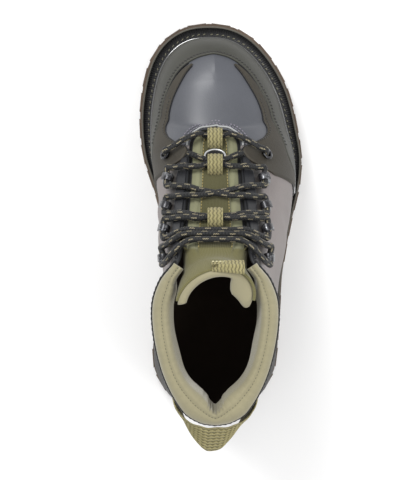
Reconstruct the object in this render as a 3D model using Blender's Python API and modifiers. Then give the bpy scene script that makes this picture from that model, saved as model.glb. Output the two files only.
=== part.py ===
"""Right wading boot for stream use, standing empty on its sole.

The boot is built in its own frame: the heel tip of the sole is at y = 0, the toe points along +Y,
the lateral side is +X, Z is up and the floor is z = 0. At the end everything is moved together so
that the bottom centre of the whole boot's box is the origin.
"""
from collections import namedtuple
from itertools import combinations
from math import acos, asin, cos, pi, radians, sin, sqrt

import bmesh
import bpy
from mathutils import Vector
from mathutils.bvhtree import BVHTree

# Sole
SOLE_LENGTH = 0.302
BALL_WIDTH = 0.1235
HEEL_WIDTH = 0.0975
TOE_ROUNDING = 0.095
TOE_POWER = 2.3
TOE_SPRING = 0.010
SPRING_START = 0.225
LUG_DEPTH = 0.005
LUG_PITCH = 0.0205
LUG_LENGTH = 0.0145
LUG_REACH = 0.017
LUG_PROUD = 0.0006
LUG_SINK = 0.0008
LUG_GAP = 0.005
CHAMFER = 0.0012
PLATE_THICKNESS = 0.005
ARCH_START = 0.088
ARCH_END = 0.124
ARCH_RISE = 0.002
MIDSOLE_HEEL = 0.020
MIDSOLE_BALL = 0.012
RIB_DEPTH = 0.0012
WELT_HEIGHT = 0.0045
WELT_LIP = 0.0011
WELT_LEAN = 0.25
STITCH_CHANNEL = 0.0013
INSOLE_THICKNESS = 0.0035

# Upper
WALL = 0.0024
COLLAR_HEIGHT = 0.166
COLLAR_WIDTH = 0.086
RAND_THICKNESS = 0.0012
PANEL_GAP = 0.0005
CLEARANCE = 0.0003

# Lining, tongue and trim
PAD_THICKNESS = 0.0092
PAD_RISE = 0.0085
PAD_SHARE = 0.50
TONGUE_THICKNESS = 0.0055
TONGUE_WALL_GAP = 0.0012
PIPING_RADIUS = 0.0009
PIPING_ROW = 0.985
PIPING_END = 0.400
WEBBING = 0.0012
PULL_WIDTH = 0.023
PULL_START = -0.07
PULL_FOOT = 0.9
PULL_BEND = 0.45
LOOP_WIDTH = 0.025
LOOP_THICKNESS = 0.0016
LOOP_REACH = 0.0155
LOOP_SLACK = 0.0025
LOOP_POINT = 1.15
LOOP_EASE = 0.5

# Lacing
LACE_RADIUS = 0.0023
LACE_GAP = 0.0004
LACE_DIP = 0.0012
LACE_ASIDE = 0.0013
LACE_STEPS = 10
KEEPER_WIDTH = 0.0108
KEEPER_REACH = 0.0082
KEEPER_HEADROOM = 0.0026
EYELET_BORE = 0.0027
EYELET_RADIUS = 0.0046
EYELET_HEIGHT = 0.0011
HOOK_STRIP = 0.0010
HOOK_WIDTH = 0.0055
HOOK_BASE = 0.0060

# Mesh steps: columns on one side from toe tip to heel tip, and rows from welt to topline
COLUMNS = 32
ROWS = 9
PANEL_ROWS = 4
PANEL_COLUMNS = 2 * COLUMNS

LATERAL = 1
MEDIAL = -1

# Plan of the sole. along: share of the length from the heel tip. half: share of half the local
# width. shift: sideways bend of the middle line, as a share of the ball width.
Plan = namedtuple("Plan", "along half shift")
PLAN = [
    Plan(0.00, 1.00, 0.000),
    Plan(0.16, 1.00, 0.002),
    Plan(0.30, 0.97, 0.034),
    Plan(0.42, 0.89, 0.069),
    Plan(0.50, 0.88, 0.078),
    Plan(0.58, 0.93, 0.074),
    Plan(0.66, 1.00, 0.050),
    Plan(0.74, 1.00, 0.024),
    Plan(0.83, 1.00, 0.004),
    Plan(0.93, 1.00, -0.026),
    Plan(1.00, 1.00, -0.036),
]

# Rows of lugs inside the edge lugs. along: share of the length. count: lugs side by side. depth and
# bend: fore and aft size, and how far the ends are swept back, in metres.
LugRow = namedtuple("LugRow", "along count depth bend")
CENTRE_LUGS = [
    LugRow(0.105, 2, 0.012, 0.003),
    LugRow(0.190, 3, 0.013, 0.003),
    LugRow(0.460, 2, 0.012, 0.004),
    LugRow(0.540, 3, 0.013, 0.004),
    LugRow(0.625, 4, 0.013, 0.004),
    LugRow(0.710, 4, 0.013, 0.004),
    LugRow(0.795, 3, 0.013, 0.004),
    LugRow(0.875, 2, 0.012, 0.004),
]

# Ledges of the sole seen from above. base: place along a side, 0 at the toe tip and 1 at the heel
# tip. step: outsole beyond midsole. ledge: welt beyond the foot of the upper, in metres.
Ledge = namedtuple("Ledge", "base step ledge")
LEDGES = [
    Ledge(0.00, 0.0043, 0.0103),
    Ledge(0.20, 0.0036, 0.0100),
    Ledge(0.35, 0.0024, 0.0092),
    Ledge(0.42, 0.0020, 0.0070),
    Ledge(0.50, 0.0018, 0.0034),
    Ledge(0.70, 0.0022, 0.0028),
    Ledge(1.00, 0.0026, 0.0030),
]

# Ribs of the upper, from the welt up to the topline. base: place along a side. along: share of the
# sole's length. half: share of the collar's width. height, low, high: shares of the collar's height,
# the last two being the lengths of the curve's handles. lean: outward tilt at the foot, in degrees.
# turn: plan direction of the surface at the top, 0 backwards, 90 to the middle, 180 forwards.
# pitch: its angle above the horizontal.
Rib = namedtuple("Rib", "base along half height lean low turn pitch high")
RIBS = [
    Rib(0.0000, 0.868, 0.000, 0.428, 3, 0.165, 0, 9, 0.100),
    Rib(0.1000, 0.845, 0.000, 0.438, 3, 0.165, 30, 9, 0.125),
    Rib(0.2000, 0.798, 0.000, 0.466, 3, 0.170, 62, 7, 0.180),
    Rib(0.3125, 0.724, 0.000, 0.524, 4, 0.178, 88, 4, 0.225),
    Rib(0.3440, 0.716, 0.115, 0.532, 5, 0.180, 88, 8, 0.182),
    Rib(0.3850, 0.690, 0.212, 0.556, 7, 0.183, 87, 15, 0.165),
    Rib(0.4300, 0.640, 0.218, 0.622, 10, 0.190, 86, 22, 0.178),
    Rib(0.5000, 0.545, 0.243, 0.765, 12, 0.202, 86, 34, 0.215),
    Rib(0.5600, 0.464, 0.275, 0.892, 11, 0.220, 90, 48, 0.240),
    Rib(0.6000, 0.404, 0.306, 1.012, 9, 0.240, 98, 76, 0.250),
    Rib(0.6500, 0.354, 0.436, 1.006, 7, 0.260, 105, 96, 0.260),
    Rib(0.7000, 0.298, 0.500, 0.994, 6, 0.275, 110, 102, 0.265),
    Rib(0.7700, 0.215, 0.483, 0.982, 6, 0.285, 125, 104, 0.275),
    Rib(0.8500, 0.126, 0.400, 0.970, 7, 0.290, 145, 104, 0.290),
    Rib(0.9300, 0.052, 0.250, 0.964, 9, 0.290, 165, 104, 0.300),
    Rib(0.9700, 0.028, 0.120, 0.964, 10, 0.290, 173, 104, 0.300),
    Rib(1.0000, 0.022, 0.000, 0.964, 10, 0.290, 180, 104, 0.300),
]
THROAT_FOOT = 10 / COLUMNS

# Overlays on the upper. base: place along a side. low, high: their lower and upper edge, as shares
# of the way from the welt to the topline.
Panel = namedtuple("Panel", "base low high")
RAND = [
    Panel(0.000, 0.062, 0.760),
    Panel(0.070, 0.062, 0.715),
    Panel(0.135, 0.062, 0.625),
    Panel(0.200, 0.062, 0.535),
    Panel(0.250, 0.062, 0.490),
    Panel(0.300, 0.062, 0.455),
    Panel(0.350, 0.062, 0.460),
    Panel(0.400, 0.062, 0.430),
    Panel(0.420, 0.062, 0.330),
    Panel(0.4375, 0.062, 0.180),
]
SIDE_OVERLAY = [
    Panel(0.140625, 0.635, 0.655),
    Panel(0.170, 0.590, 0.640),
    Panel(0.220, 0.530, 0.615),
    Panel(0.270, 0.488, 0.580),
    Panel(0.310, 0.474, 0.570),
    Panel(0.350, 0.478, 0.610),
    Panel(0.375, 0.468, 0.720),
    Panel(0.392, 0.455, 0.850),
    Panel(0.406, 0.435, 0.975),
    Panel(0.422, 0.340, 0.965),
    Panel(0.4375, 0.210, 0.880),
    Panel(0.453125, 0.080, 0.660),
]
COUNTER = [
    Panel(0.625, 0.062, 0.110),
    Panel(0.670, 0.062, 0.360),
    Panel(0.730, 0.062, 0.520),
    Panel(0.800, 0.062, 0.600),
    Panel(0.900, 0.062, 0.650),
    Panel(1.000, 0.062, 0.670),
]

# Sections of the tongue under the eyestays and the vamp. base: the rib that it lies under. reach:
# how far down that rib its wings go, as a share of the rib.
Wing = namedtuple("Wing", "base reach")
TONGUE_WINGS = [
    Wing(0.262, 0.30),
    Wing(0.290, 0.29),
    Wing(THROAT_FOOT, 0.27),
    Wing(0.330, 0.21),
    Wing(0.350, 0.16),
    Wing(0.385, 0.11),
    Wing(0.440, 0.10),
    Wing(0.500, 0.09),
    Wing(0.545, 0.06),
    Wing(0.572, 0.03),
]

# The tongue above the throat, as arches. crest and wing: places along the sole, as shares of its
# length, and heights as shares of the collar's height. half: share of the collar's width.
Arch = namedtuple("Arch", "crest crest_height wing wing_height half")
TONGUE_TOP = [
    Arch(0.412, 1.030, 0.375, 0.950, 0.262),
    Arch(0.404, 1.068, 0.338, 0.985, 0.300),
    Arch(0.394, 1.105, 0.318, 1.035, 0.318),
    Arch(0.386, 1.130, 0.308, 1.062, 0.322),
]

# Lacing hardware on both sides. base and row: its place on the upper.
Seat = namedtuple("Seat", "base row")
EYELET = Seat(0.419, 0.765)
HOOKS = [
    Seat(0.466, 0.835),
    Seat(0.515, 0.850),
    Seat(0.553, 0.855),
    Seat(0.592, 0.790),
]

# Ribs over which the webbing keepers on the tongue sit.
KEEPERS = [0.378, 0.437, 0.534]

# Lace, strand by strand. piece: the solid that it belongs to, since crossing strands are one.
# lateral, medial: the hardware at its ends, 0 for the eyelet and then the hooks upwards. past: on
# which side of that hardware it passes, -1 in front of it, 1 behind it, 0 through it or, at the
# eyelet, out from under the throat's edge.
# bow: how many ribs' worth its middle lies behind its ends, less than 0 in front of them.
Strand = namedtuple("Strand", "piece lateral lateral_past medial medial_past bow")
STRANDS = [
    Strand(1, 0, 1, 0, 1, -0.047),
    Strand(2, 0, 0, 1, -1, 0.0),
    Strand(2, 1, -1, 0, 0, 0.0),
    Strand(3, 1, 1, 2, -1, 0.0),
    Strand(3, 2, -1, 1, 1, 0.0),
    Strand(4, 2, 1, 3, -1, 0.0),
    Strand(4, 3, -1, 2, 1, 0.0),
    Strand(5, 3, 1, 3, 1, -0.010),
    Strand(6, 4, -1, 4, -1, -0.008),
    Strand(7, 4, 1, 4, 1, -0.022),
]


def smooth(table, column, at):
    """Reads a column of a table at a value of its first column, through a smooth curve."""
    keys = [row[0] for row in table]
    values = [getattr(row, column) for row in table]
    at = min(max(at, keys[0]), keys[-1])
    last = len(keys) - 1
    i = max(k for k in range(last) if keys[k] <= at)
    span = keys[i + 1] - keys[i]

    def slope(k):
        a, b = max(k - 1, 0), min(k + 1, last)
        return (values[b] - values[a]) / (keys[b] - keys[a])

    t = (at - keys[i]) / span
    start, end = values[i], values[i + 1]
    into = slope(i) * span
    out = slope(i + 1) * span
    return (
        start * (2 * t**3 - 3 * t**2 + 1)
        + into * (t**3 - 2 * t**2 + t)
        + end * (3 * t**2 - 2 * t**3)
        + out * (t**3 - t**2)
    )


def ease(low, high, value):
    """Rises smoothly from 0 to 1 between two values."""
    t = min(max((value - low) / (high - low), 0.0), 1.0)
    return t * t * (3 - 2 * t)


def plan_point(side, base):
    """Outermost edge of the sole at a place along one side, 0 at the toe tip, 1 at the heel tip."""
    y = SOLE_LENGTH * (1 + cos(pi * base)) / 2
    along = y / SOLE_LENGTH
    width = HEEL_WIDTH + (BALL_WIDTH - HEEL_WIDTH) * ease(0.30, 0.62, along)
    half = smooth(PLAN, "half", along) * width / 2
    from_toe = min((SOLE_LENGTH - y) / TOE_ROUNDING, 1.0)
    from_heel = min(y / (HEEL_WIDTH / 2), 1.0)
    half *= (1 - (1 - from_toe) ** TOE_POWER) ** (1 / TOE_POWER)
    half *= sqrt(1 - (1 - from_heel) ** 2)
    middle = smooth(PLAN, "shift", along) * BALL_WIDTH
    return Vector((middle + side * half, y))


def plan_normal(side, base):
    """Outward direction of the sole's edge in plan."""
    if base in (0.0, 1.0):
        return Vector((0.0, 1.0 if base == 0.0 else -1.0))
    reach = 0.004
    ahead = plan_point(side, max(base - reach, 0.0))
    behind = plan_point(side, min(base + reach, 1.0))
    tangent = behind - ahead
    return Vector((-tangent.y, tangent.x)).normalized() * side


def edge(side, base, inset):
    """Edge of the sole moved inwards by an inset."""
    return plan_point(side, base) - plan_normal(side, base) * inset


def split(u):
    """Side and place of a column. u runs from the toe tip (0) by the lateral side to the heel tip
    (1) and back by the medial side (2)."""
    u = u % 2.0
    return (LATERAL, u) if u <= 1.0 else (MEDIAL, 2.0 - u)


def step_at(base):
    return smooth(LEDGES, "step", base)


def foot_inset(base):
    """Distance of the upper's foot from the outermost edge of the sole."""
    return step_at(base) + smooth(LEDGES, "ledge", base)


def floor_line(y):
    """Height of the tread's underside: flat from heel to ball, then rising to the toe."""
    rise = max(y - SPRING_START, 0.0) / (SOLE_LENGTH - SPRING_START)
    return TOE_SPRING * rise**2


def plate_bottom(y):
    arch = ease(ARCH_START, ARCH_START + 0.012, y) - ease(ARCH_END - 0.012, ARCH_END, y)
    return floor_line(y) + LUG_DEPTH + ARCH_RISE * arch


def plate_top(y):
    return floor_line(y) + LUG_DEPTH + PLATE_THICKNESS


def midsole_bottom(y):
    return plate_top(y) + CLEARANCE


def deck(y):
    """Height of the midsole's top, which carries the welt, the insole and the upper."""
    wedge = ease(0.085, 0.180, y)
    return midsole_bottom(y) + MIDSOLE_HEEL + (MIDSOLE_BALL - MIDSOLE_HEEL) * wedge


def rib_curve(side, base):
    """The four control points of a rib of the upper."""
    row = {name: smooth(RIBS, name, base) for name in Rib._fields[1:]}
    half = 0.0 if base <= THROAT_FOOT or base >= 1.0 else row["half"] * COLLAR_WIDTH
    foot = edge(side, base, foot_inset(base) + CLEARANCE)
    outward = plan_normal(side, base)
    lean = radians(row["lean"])
    start = Vector((foot.x, foot.y, deck(foot.y) + CLEARANCE))
    rise = Vector((outward.x * sin(lean), outward.y * sin(lean), cos(lean)))
    top = Vector((side * half, row["along"] * SOLE_LENGTH, row["height"] * COLLAR_HEIGHT))
    turn = radians(row["turn"])
    pitch = radians(row["pitch"])
    inward = Vector((-side * sin(turn), -cos(turn), 0.0))
    arrive = inward * cos(pitch) + Vector((0.0, 0.0, sin(pitch)))
    return (
        start,
        start + rise * row["low"] * COLLAR_HEIGHT,
        top - arrive * row["high"] * COLLAR_HEIGHT,
        top,
    )


def bezier(points, t):
    a, b, c, d = points
    s = 1 - t
    return a * s**3 + b * 3 * s**2 * t + c * 3 * s * t**2 + d * t**3


def skin(u, v, depth=0.0):
    """The boot's surface at column u and row v (0 welt, 1 topline), sunk inwards by a depth."""
    side, base = split(u)
    point = bezier(rib_curve(side, base), v)
    if depth == 0.0:
        return point
    reach = 0.01
    low, high = max(v - reach, 0.0), min(v + reach, 1.0)
    up = bezier(rib_curve(side, base), high) - bezier(rib_curve(side, base), low)
    before, after = split(u - reach), split(u + reach)
    around = bezier(rib_curve(*after), v) - bezier(rib_curve(*before), v)
    return point + around.cross(up).normalized() * depth


def material(name, colour, roughness, metallic=0.0):
    made = bpy.data.materials.new(name)
    made.use_nodes = True
    shader = made.node_tree.nodes["Principled BSDF"]
    shader.inputs["Base Color"].default_value = (*colour, 1.0)
    shader.inputs["Roughness"].default_value = roughness
    shader.inputs["Metallic"].default_value = metallic
    return made


def new_object(name, mesh, finish, collection):
    made = bpy.data.objects.new(name, mesh)
    mesh.materials.append(finish)
    collection.objects.link(made)
    return made


def grid_mesh(name, rows, closed_across=False, closed_along=False, capped=False, reverse=None):
    """Mesh of a grid of points, with doubled points merged.

    A closed form has its normals turned outwards. On an open surface, reverse says whether its
    faces turn against the order of the rows and columns.
    """
    form = bmesh.new()
    verts = [[form.verts.new(point) for point in row] for row in rows]
    count, width = len(rows), len(rows[0])
    for i in range(count if closed_along else count - 1):
        for j in range(width if closed_across else width - 1):
            k, n = (i + 1) % count, (j + 1) % width
            form.faces.new((verts[i][j], verts[k][j], verts[k][n], verts[i][n]))
    if capped:
        form.faces.new(verts[0][::-1])
        form.faces.new(verts[-1])
    bmesh.ops.remove_doubles(form, verts=form.verts, dist=0.00001)
    if reverse is None:
        bmesh.ops.recalc_face_normals(form, faces=form.faces)
    elif reverse:
        bmesh.ops.reverse_faces(form, faces=form.faces)
    mesh = bpy.data.meshes.new(name)
    form.to_mesh(mesh)
    form.free()
    mesh.shade_smooth()
    return mesh


def thicken(made, thickness, outward):
    shell = made.modifiers.new("wall", "SOLIDIFY")
    shell.thickness = thickness
    shell.offset = 1.0 if outward else -1.0
    shell.use_even_offset = True
    return made


def slab(name, rows, finish, collection):
    """A layer of the sole. rows: pairs of an inset function and a height function, bottom to top."""
    form = bmesh.new()
    bases = [k / COLUMNS for k in range(COLUMNS + 1)]
    rings = []
    for inset, height in rows:
        ring = {}
        for base in bases:
            for side in (LATERAL, MEDIAL):
                if side == MEDIAL and base in (0.0, 1.0):
                    ring[side, base] = ring[LATERAL, base]
                    continue
                place = edge(side, base, inset(base))
                ring[side, base] = form.verts.new((place.x, place.y, height(place.y)))
        rings.append(ring)
    loop = [(LATERAL, b) for b in bases] + [(MEDIAL, b) for b in bases[-2:0:-1]]
    for low, high in zip(rings, rings[1:]):
        for here, there in zip(loop, loop[1:] + loop[:1]):
            form.faces.new((low[here], low[there], high[there], high[here]))
    for ring, flip in ((rings[0], True), (rings[-1], False)):
        for near, far in zip(bases, bases[1:]):
            corners = [ring[LATERAL, near], ring[LATERAL, far], ring[MEDIAL, far], ring[MEDIAL, near]]
            corners = list(dict.fromkeys(corners))
            form.faces.new(corners[::-1] if flip else corners)
    bmesh.ops.recalc_face_normals(form, faces=form.faces)
    mesh = bpy.data.meshes.new(name)
    form.to_mesh(mesh)
    form.free()
    return new_object(name, mesh, finish, collection)


def ring_solid(name, section, finish, collection):
    """A strip that runs all round the sole. section: pairs of inset and height functions."""
    rows = []
    for k in range(2 * COLUMNS):
        side, base = split(k / COLUMNS)
        row = []
        for inset, height in section:
            place = edge(side, base, inset(base))
            row.append((place.x, place.y, height(place.y)))
        rows.append(row)
    mesh = grid_mesh(name, rows, closed_across=True, closed_along=True)
    return new_object(name, mesh, finish, collection)


def make_midsole(finish, collection):
    thick = lambda y: deck(y) - midsole_bottom(y)
    level = lambda share: lambda y: midsole_bottom(y) + share * thick(y)
    flush = lambda extra: lambda base: step_at(base) + extra
    rows = [
        (flush(0.0), level(0.0)),
        (flush(0.0), level(0.44)),
        (flush(RIB_DEPTH), level(0.52)),
        (flush(0.0), level(0.62)),
        (flush(0.0), level(1.0)),
    ]
    return slab("midsole", rows, finish, collection)


def make_welt(finish, collection):
    inner = lambda base: foot_inset(base)
    outer = lambda base: step_at(base)
    bottom = lambda y: deck(y) + CLEARANCE
    top = lambda y: deck(y) + CLEARANCE + WELT_HEIGHT
    channel = lambda y: top(y) - STITCH_CHANNEL
    lip = lambda base: outer(base) + WELT_LIP
    section = [
        (outer, bottom),
        (outer, top),
        (lip, top),
        (lambda base: lip(base) + 0.0004, channel),
        (lambda base: inner(base) - WELT_LEAN * WELT_HEIGHT, channel),
        (inner, bottom),
    ]
    return ring_solid("welt", section, finish, collection)


def make_insole(finish, collection):
    inside = lambda base: foot_inset(base) + WALL + 3 * CLEARANCE
    rows = [
        (inside, lambda y: deck(y) + CLEARANCE),
        (inside, lambda y: deck(y) + CLEARANCE + INSOLE_THICKNESS),
    ]
    return slab("insole", rows, finish, collection)


def lug_block(form, corners):
    """A lug: its plan corners, in order, from the tread up into the plate."""
    low = [form.verts.new((x, y, floor_line(y))) for x, y in corners]
    high = [form.verts.new((x, y, plate_top(y) - LUG_SINK)) for x, y in corners]
    form.faces.new(low[::-1])
    form.faces.new(high)
    count = len(corners)
    for k in range(count):
        n = (k + 1) % count
        form.faces.new((low[k], low[n], high[n], high[k]))


def edge_lug_places(side):
    """Where the lugs round the edge start and end, as places along a side."""
    fine = 400
    lengths = [0.0]
    for k in range(fine):
        lengths.append(lengths[-1] + (plan_point(side, (k + 1) / fine) - plan_point(side, k / fine)).length)
    count = round(lengths[-1] / LUG_PITCH)
    pitch = lengths[-1] / count
    share = LUG_LENGTH / LUG_PITCH

    def at(length):
        return max(k for k in range(fine + 1) if lengths[k] <= length + 1e-9) / fine

    return [(at((k + (1 - share) / 2) * pitch), at((k + (1 + share) / 2) * pitch)) for k in range(count)]


def make_outsole(finish, collection, cutters):
    rows = [
        (lambda base: LUG_PROUD + CHAMFER, plate_bottom),
        (lambda base: LUG_PROUD, lambda y: plate_bottom(y) + CHAMFER),
        (lambda base: LUG_PROUD, plate_top),
    ]
    made = slab("outsole", rows, finish, collection)
    form = bmesh.new()
    for side in (LATERAL, MEDIAL):
        for start, end in edge_lug_places(side):
            outer = [edge(side, start, 0.0), edge(side, end, 0.0)]
            if ARCH_START < edge(side, (start + end) / 2, 0.0).y < ARCH_END:
                continue
            taper = (end - start) * 0.12
            inner = [edge(side, end - taper, LUG_REACH), edge(side, start + taper, LUG_REACH)]
            lug_block(form, [tuple(p) for p in outer + inner])
    for place in CENTRE_LUGS:
        y = place.along * SOLE_LENGTH
        base = acos(2 * place.along - 1) / pi
        left = edge(MEDIAL, base, LUG_REACH + LUG_GAP).x
        right = edge(LATERAL, base, LUG_REACH + LUG_GAP).x
        pitch = (right - left) / place.count
        for k in range(place.count):
            x = left + (k + 0.5) * pitch
            w, d, bend = pitch / 2 - LUG_GAP / 2, place.depth / 2, place.bend
            corners = [(x - w, y - d - bend), (x, y - d), (x + w, y - d - bend)]
            corners += [(x + w, y + d - bend), (x, y + d), (x - w, y + d - bend)]
            lug_block(form, corners)
    bmesh.ops.recalc_face_normals(form, faces=form.faces)
    mesh = bpy.data.meshes.new("lugs")
    form.to_mesh(mesh)
    form.free()
    lugs = new_object("lugs", mesh, finish, cutters)
    lugs.hide_render = True
    lugs.display_type = "WIRE"
    joint = made.modifiers.new("lugs", "BOOLEAN")
    joint.operation = "UNION"
    joint.use_self = True
    joint.object = lugs
    return made


def outer_face():
    """The upper's outer face in flat triangles, before it gets its thickness."""
    rows = []
    for k in range(2 * COLUMNS):
        rows.append([skin(k / COLUMNS, r / ROWS) for r in range(ROWS + 1)])
    mesh = grid_mesh("upper", rows, closed_along=True, reverse=True)
    form = bmesh.new()
    form.from_mesh(mesh)
    bmesh.ops.triangulate(form, faces=form.faces)
    form.to_mesh(mesh)
    form.free()
    return mesh


def make_upper(finish, collection, cutters):
    made = new_object("upper", outer_face(), finish, collection)
    thicken(made, WALL, outward=False)
    cut(made, cutters)
    return made


def face_tree():
    """The upper's outer face, to seat the overlays on."""
    form = bmesh.new()
    form.from_mesh(outer_face())
    tree = BVHTree.FromBMesh(form)
    form.free()
    return tree


def seated(tree, u, v, gap):
    """Point of the surface at (u, v), lifted to a gap over the upper's flat faces."""
    point = skin(u, v)
    normal = (skin(u, v, -0.001) - point).normalized()
    above = 0.004
    hit = tree.ray_cast(point + normal * above, -normal, 2 * above)[0]
    return (hit or point) + normal * gap


def settle(tree, rows, rounds=4):
    """Lifts an overlay's points until the straight lines between them clear the upper."""
    for _ in range(rounds):
        for i in range(len(rows) - 1):
            for j in range(len(rows[0]) - 1):
                corners = [(i, j), (i + 1, j), (i, j + 1), (i + 1, j + 1)]
                for (a, b), (c, d) in combinations(corners, 2):
                    for share in (0.25, 0.5, 0.75):
                        between = rows[a][b].lerp(rows[c][d], share)
                        near, normal = tree.find_nearest(between)[:2]
                        missing = PANEL_GAP - (between - near).dot(normal)
                        if missing > 0:
                            rows[a][b] = rows[a][b] + normal * missing
                            rows[c][d] = rows[c][d] + normal * missing


def cut(made, cutters):
    """Takes cutters out of a solid."""
    if cutters:
        made.modifiers.new("flat_faces", "TRIANGULATE")
    for cutter in cutters:
        hole = made.modifiers.new(cutter.name, "BOOLEAN")
        hole.operation = "DIFFERENCE"
        hole.object = cutter


def frame_at(side, base, row, lift=0.0):
    """Point over the upper with its outward normal and the direction down its rib."""
    u = base if side == LATERAL else 2.0 - base
    here = skin(u, row, -lift)
    normal = (skin(u, row, -WALL) - skin(u, row)).normalized()
    down = skin(u, row - 0.05) - skin(u, row)
    down = (down - normal * down.dot(normal)).normalized()
    return here, normal, down


def placed(points, origin, x_axis, z_axis):
    """Moves points from a local frame to their place on the boot."""
    y_axis = z_axis.cross(x_axis)
    return [origin + x_axis * p.x + y_axis * p.y + z_axis * p.z for p in points]


def make_eyelet_bores(collection):
    bores = []
    for side, name in ((LATERAL, "bore_lateral"), (MEDIAL, "bore_medial")):
        origin, normal, down = frame_at(side, *EYELET, lift=0.001)
        bpy.ops.mesh.primitive_cylinder_add(vertices=16, radius=EYELET_BORE, depth=8 * WALL)
        bore = bpy.context.object
        bore.name = name
        bore.location = origin
        bore.rotation_euler = normal.to_track_quat("Z", "Y").to_euler()
        bore.hide_render = True
        bore.display_type = "WIRE"
        for held in bore.users_collection:
            held.objects.unlink(bore)
        collection.objects.link(bore)
        bores.append(bore)
    return bores


def make_panel(name, table, columns, finish, collection, cutters=()):
    """An overlay of the upper. columns: places u from one end to the other."""
    tree = face_tree()
    rows = []
    for u in columns:
        base = split(u)[1]
        low, high = smooth(table, "low", base), smooth(table, "high", base)
        places = [low + (high - low) * r / PANEL_ROWS for r in range(PANEL_ROWS + 1)]
        rows.append([seated(tree, u, v, PANEL_GAP) for v in places])
    settle(tree, rows)
    made = new_object(name, grid_mesh(name, rows, reverse=True), finish, collection)
    thicken(made, RAND_THICKNESS, outward=True)
    cut(made, cutters)
    return made


def columns_between(start, end, per_side):
    """Places u from start to end, on the columns that the upper's own mesh has or halves of them."""
    first, last = round(start * per_side), round(end * per_side)
    return [k / per_side for k in range(first, last + 1)]


def instep(base, s, lift=0.0, reach=0.1):
    """The instep at a rib, from the medial side (s = -1) over the throat to the lateral side (1).

    Beyond the topline, |s| over 0.6, it follows the upper down by a reach along the rib.
    """

    def surface(at, place):
        edge_share = 0.6
        if abs(place) >= edge_share:
            side = LATERAL if place > 0 else MEDIAL
            down = (abs(place) - edge_share) / (1 - edge_share)
            return bezier(rib_curve(side, at), 1 - down * reach)
        ends = []
        for side in (MEDIAL, LATERAL):
            _, _, handle, top = rib_curve(side, at)
            arrive = (top - handle).normalized()
            arrive.z = min(arrive.z, 0.55)
            ends.append((top, arrive.normalized()))
        width = (ends[1][0] - ends[0][0]).length
        bridge = (
            ends[0][0],
            ends[0][0] + ends[0][1] * width * 0.36,
            ends[1][0] + ends[1][1] * width * 0.36,
            ends[1][0],
        )
        return bezier(bridge, (place / edge_share + 1) / 2)

    point = surface(base, s)
    if lift == 0.0:
        return point
    near = 0.02
    if base <= THROAT_FOOT and abs(s) < 0.62:
        along = surface(base, 0.0) - surface(base - near, 0.0)
        across = Vector((1.0, 0.0, 0.0))
    else:
        along = surface(base + near, s) - surface(base - near, s)
        across = surface(base, min(s + near, 1.0)) - surface(base, max(s - near, -1.0))
    return point + along.cross(across).normalized() * lift


def tongue_top(level, s):
    """Outer face of the tongue above the throat, at a level counted in sections of its table."""
    low = min(int(level), len(TONGUE_TOP) - 2)
    share = level - low

    def between(column):
        a, b = getattr(TONGUE_TOP[low], column), getattr(TONGUE_TOP[low + 1], column)
        return a + (b - a) * share

    turn = s * pi / 2
    rise = cos(turn)
    return Vector((
        between("half") * COLLAR_WIDTH * sin(turn),
        (between("wing") + (between("crest") - between("wing")) * rise) * SOLE_LENGTH,
        (between("wing_height") + (between("crest_height") - between("wing_height")) * rise) * COLLAR_HEIGHT,
    ))


def make_tongue(finish, collection):
    depth = WALL + TONGUE_WALL_GAP
    spots = [-1.0, -0.8, -0.6, -0.45, -0.3, -0.15, 0.0, 0.15, 0.3, 0.45, 0.6, 0.8, 1.0]
    rows = []
    for wing in TONGUE_WINGS:
        rows.append([instep(wing.base, s, -depth, wing.reach) for s in spots])
    for level in range(len(TONGUE_TOP)):
        rows.append([tongue_top(level, s) for s in spots])
    made = new_object("tongue", grid_mesh("tongue", rows, reverse=False), finish, collection)
    return thicken(made, TONGUE_THICKNESS, outward=False)


def make_collar_pad(finish, collection):
    """Padded lining: inside the wall below the topline, over it above."""
    start = 19.5 / COLUMNS
    rows = []
    for u in [start] + columns_between(start + 0.01, 1.99 - start, COLUMNS) + [2.0 - start]:
        base = split(u)[1]
        fat = PAD_THICKNESS * (0.38 + 0.62 * ease(start, 0.67, base)) * (1 + 0.2 * ease(0.78, 1.0, base))
        front = WALL + CLEARANCE * (1.8 + 2.2 * (1 - ease(start, start + 0.02, base)))
        top = skin(u, 1.0)
        out = (top - skin(u, 1.0, 0.001)).normalized()
        out.z = 0.0
        out.normalize()
        up = Vector((0.0, 0.0, 1.0))
        row = [skin(u, 1 - PAD_SHARE * (1 - r / 4) - 0.02, front) for r in range(5)]
        rim = top + up * 2 * CLEARANCE
        rise = PAD_RISE * (0.45 + 0.55 * ease(start, 0.64, base))
        row.append(rim - out * front)
        for outset, lift in ((-0.03, 0.0), (0.02, 0.45), (-0.20, 0.85), (-0.50, 1.0), (-0.80, 0.85)):
            row.append(rim + out * outset * (fat + front) + up * lift * rise)
        for r in range(5):
            share = r / 4
            thick = fat * (1 - 0.65 * share**1.5)
            row.append(skin(u, 0.99 - (PAD_SHARE + 0.01) * share, front + thick))
        rows.append(row)
    mesh = grid_mesh("collar_pad", rows, closed_across=True, capped=True)
    return new_object("collar_pad", mesh, finish, collection)


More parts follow.
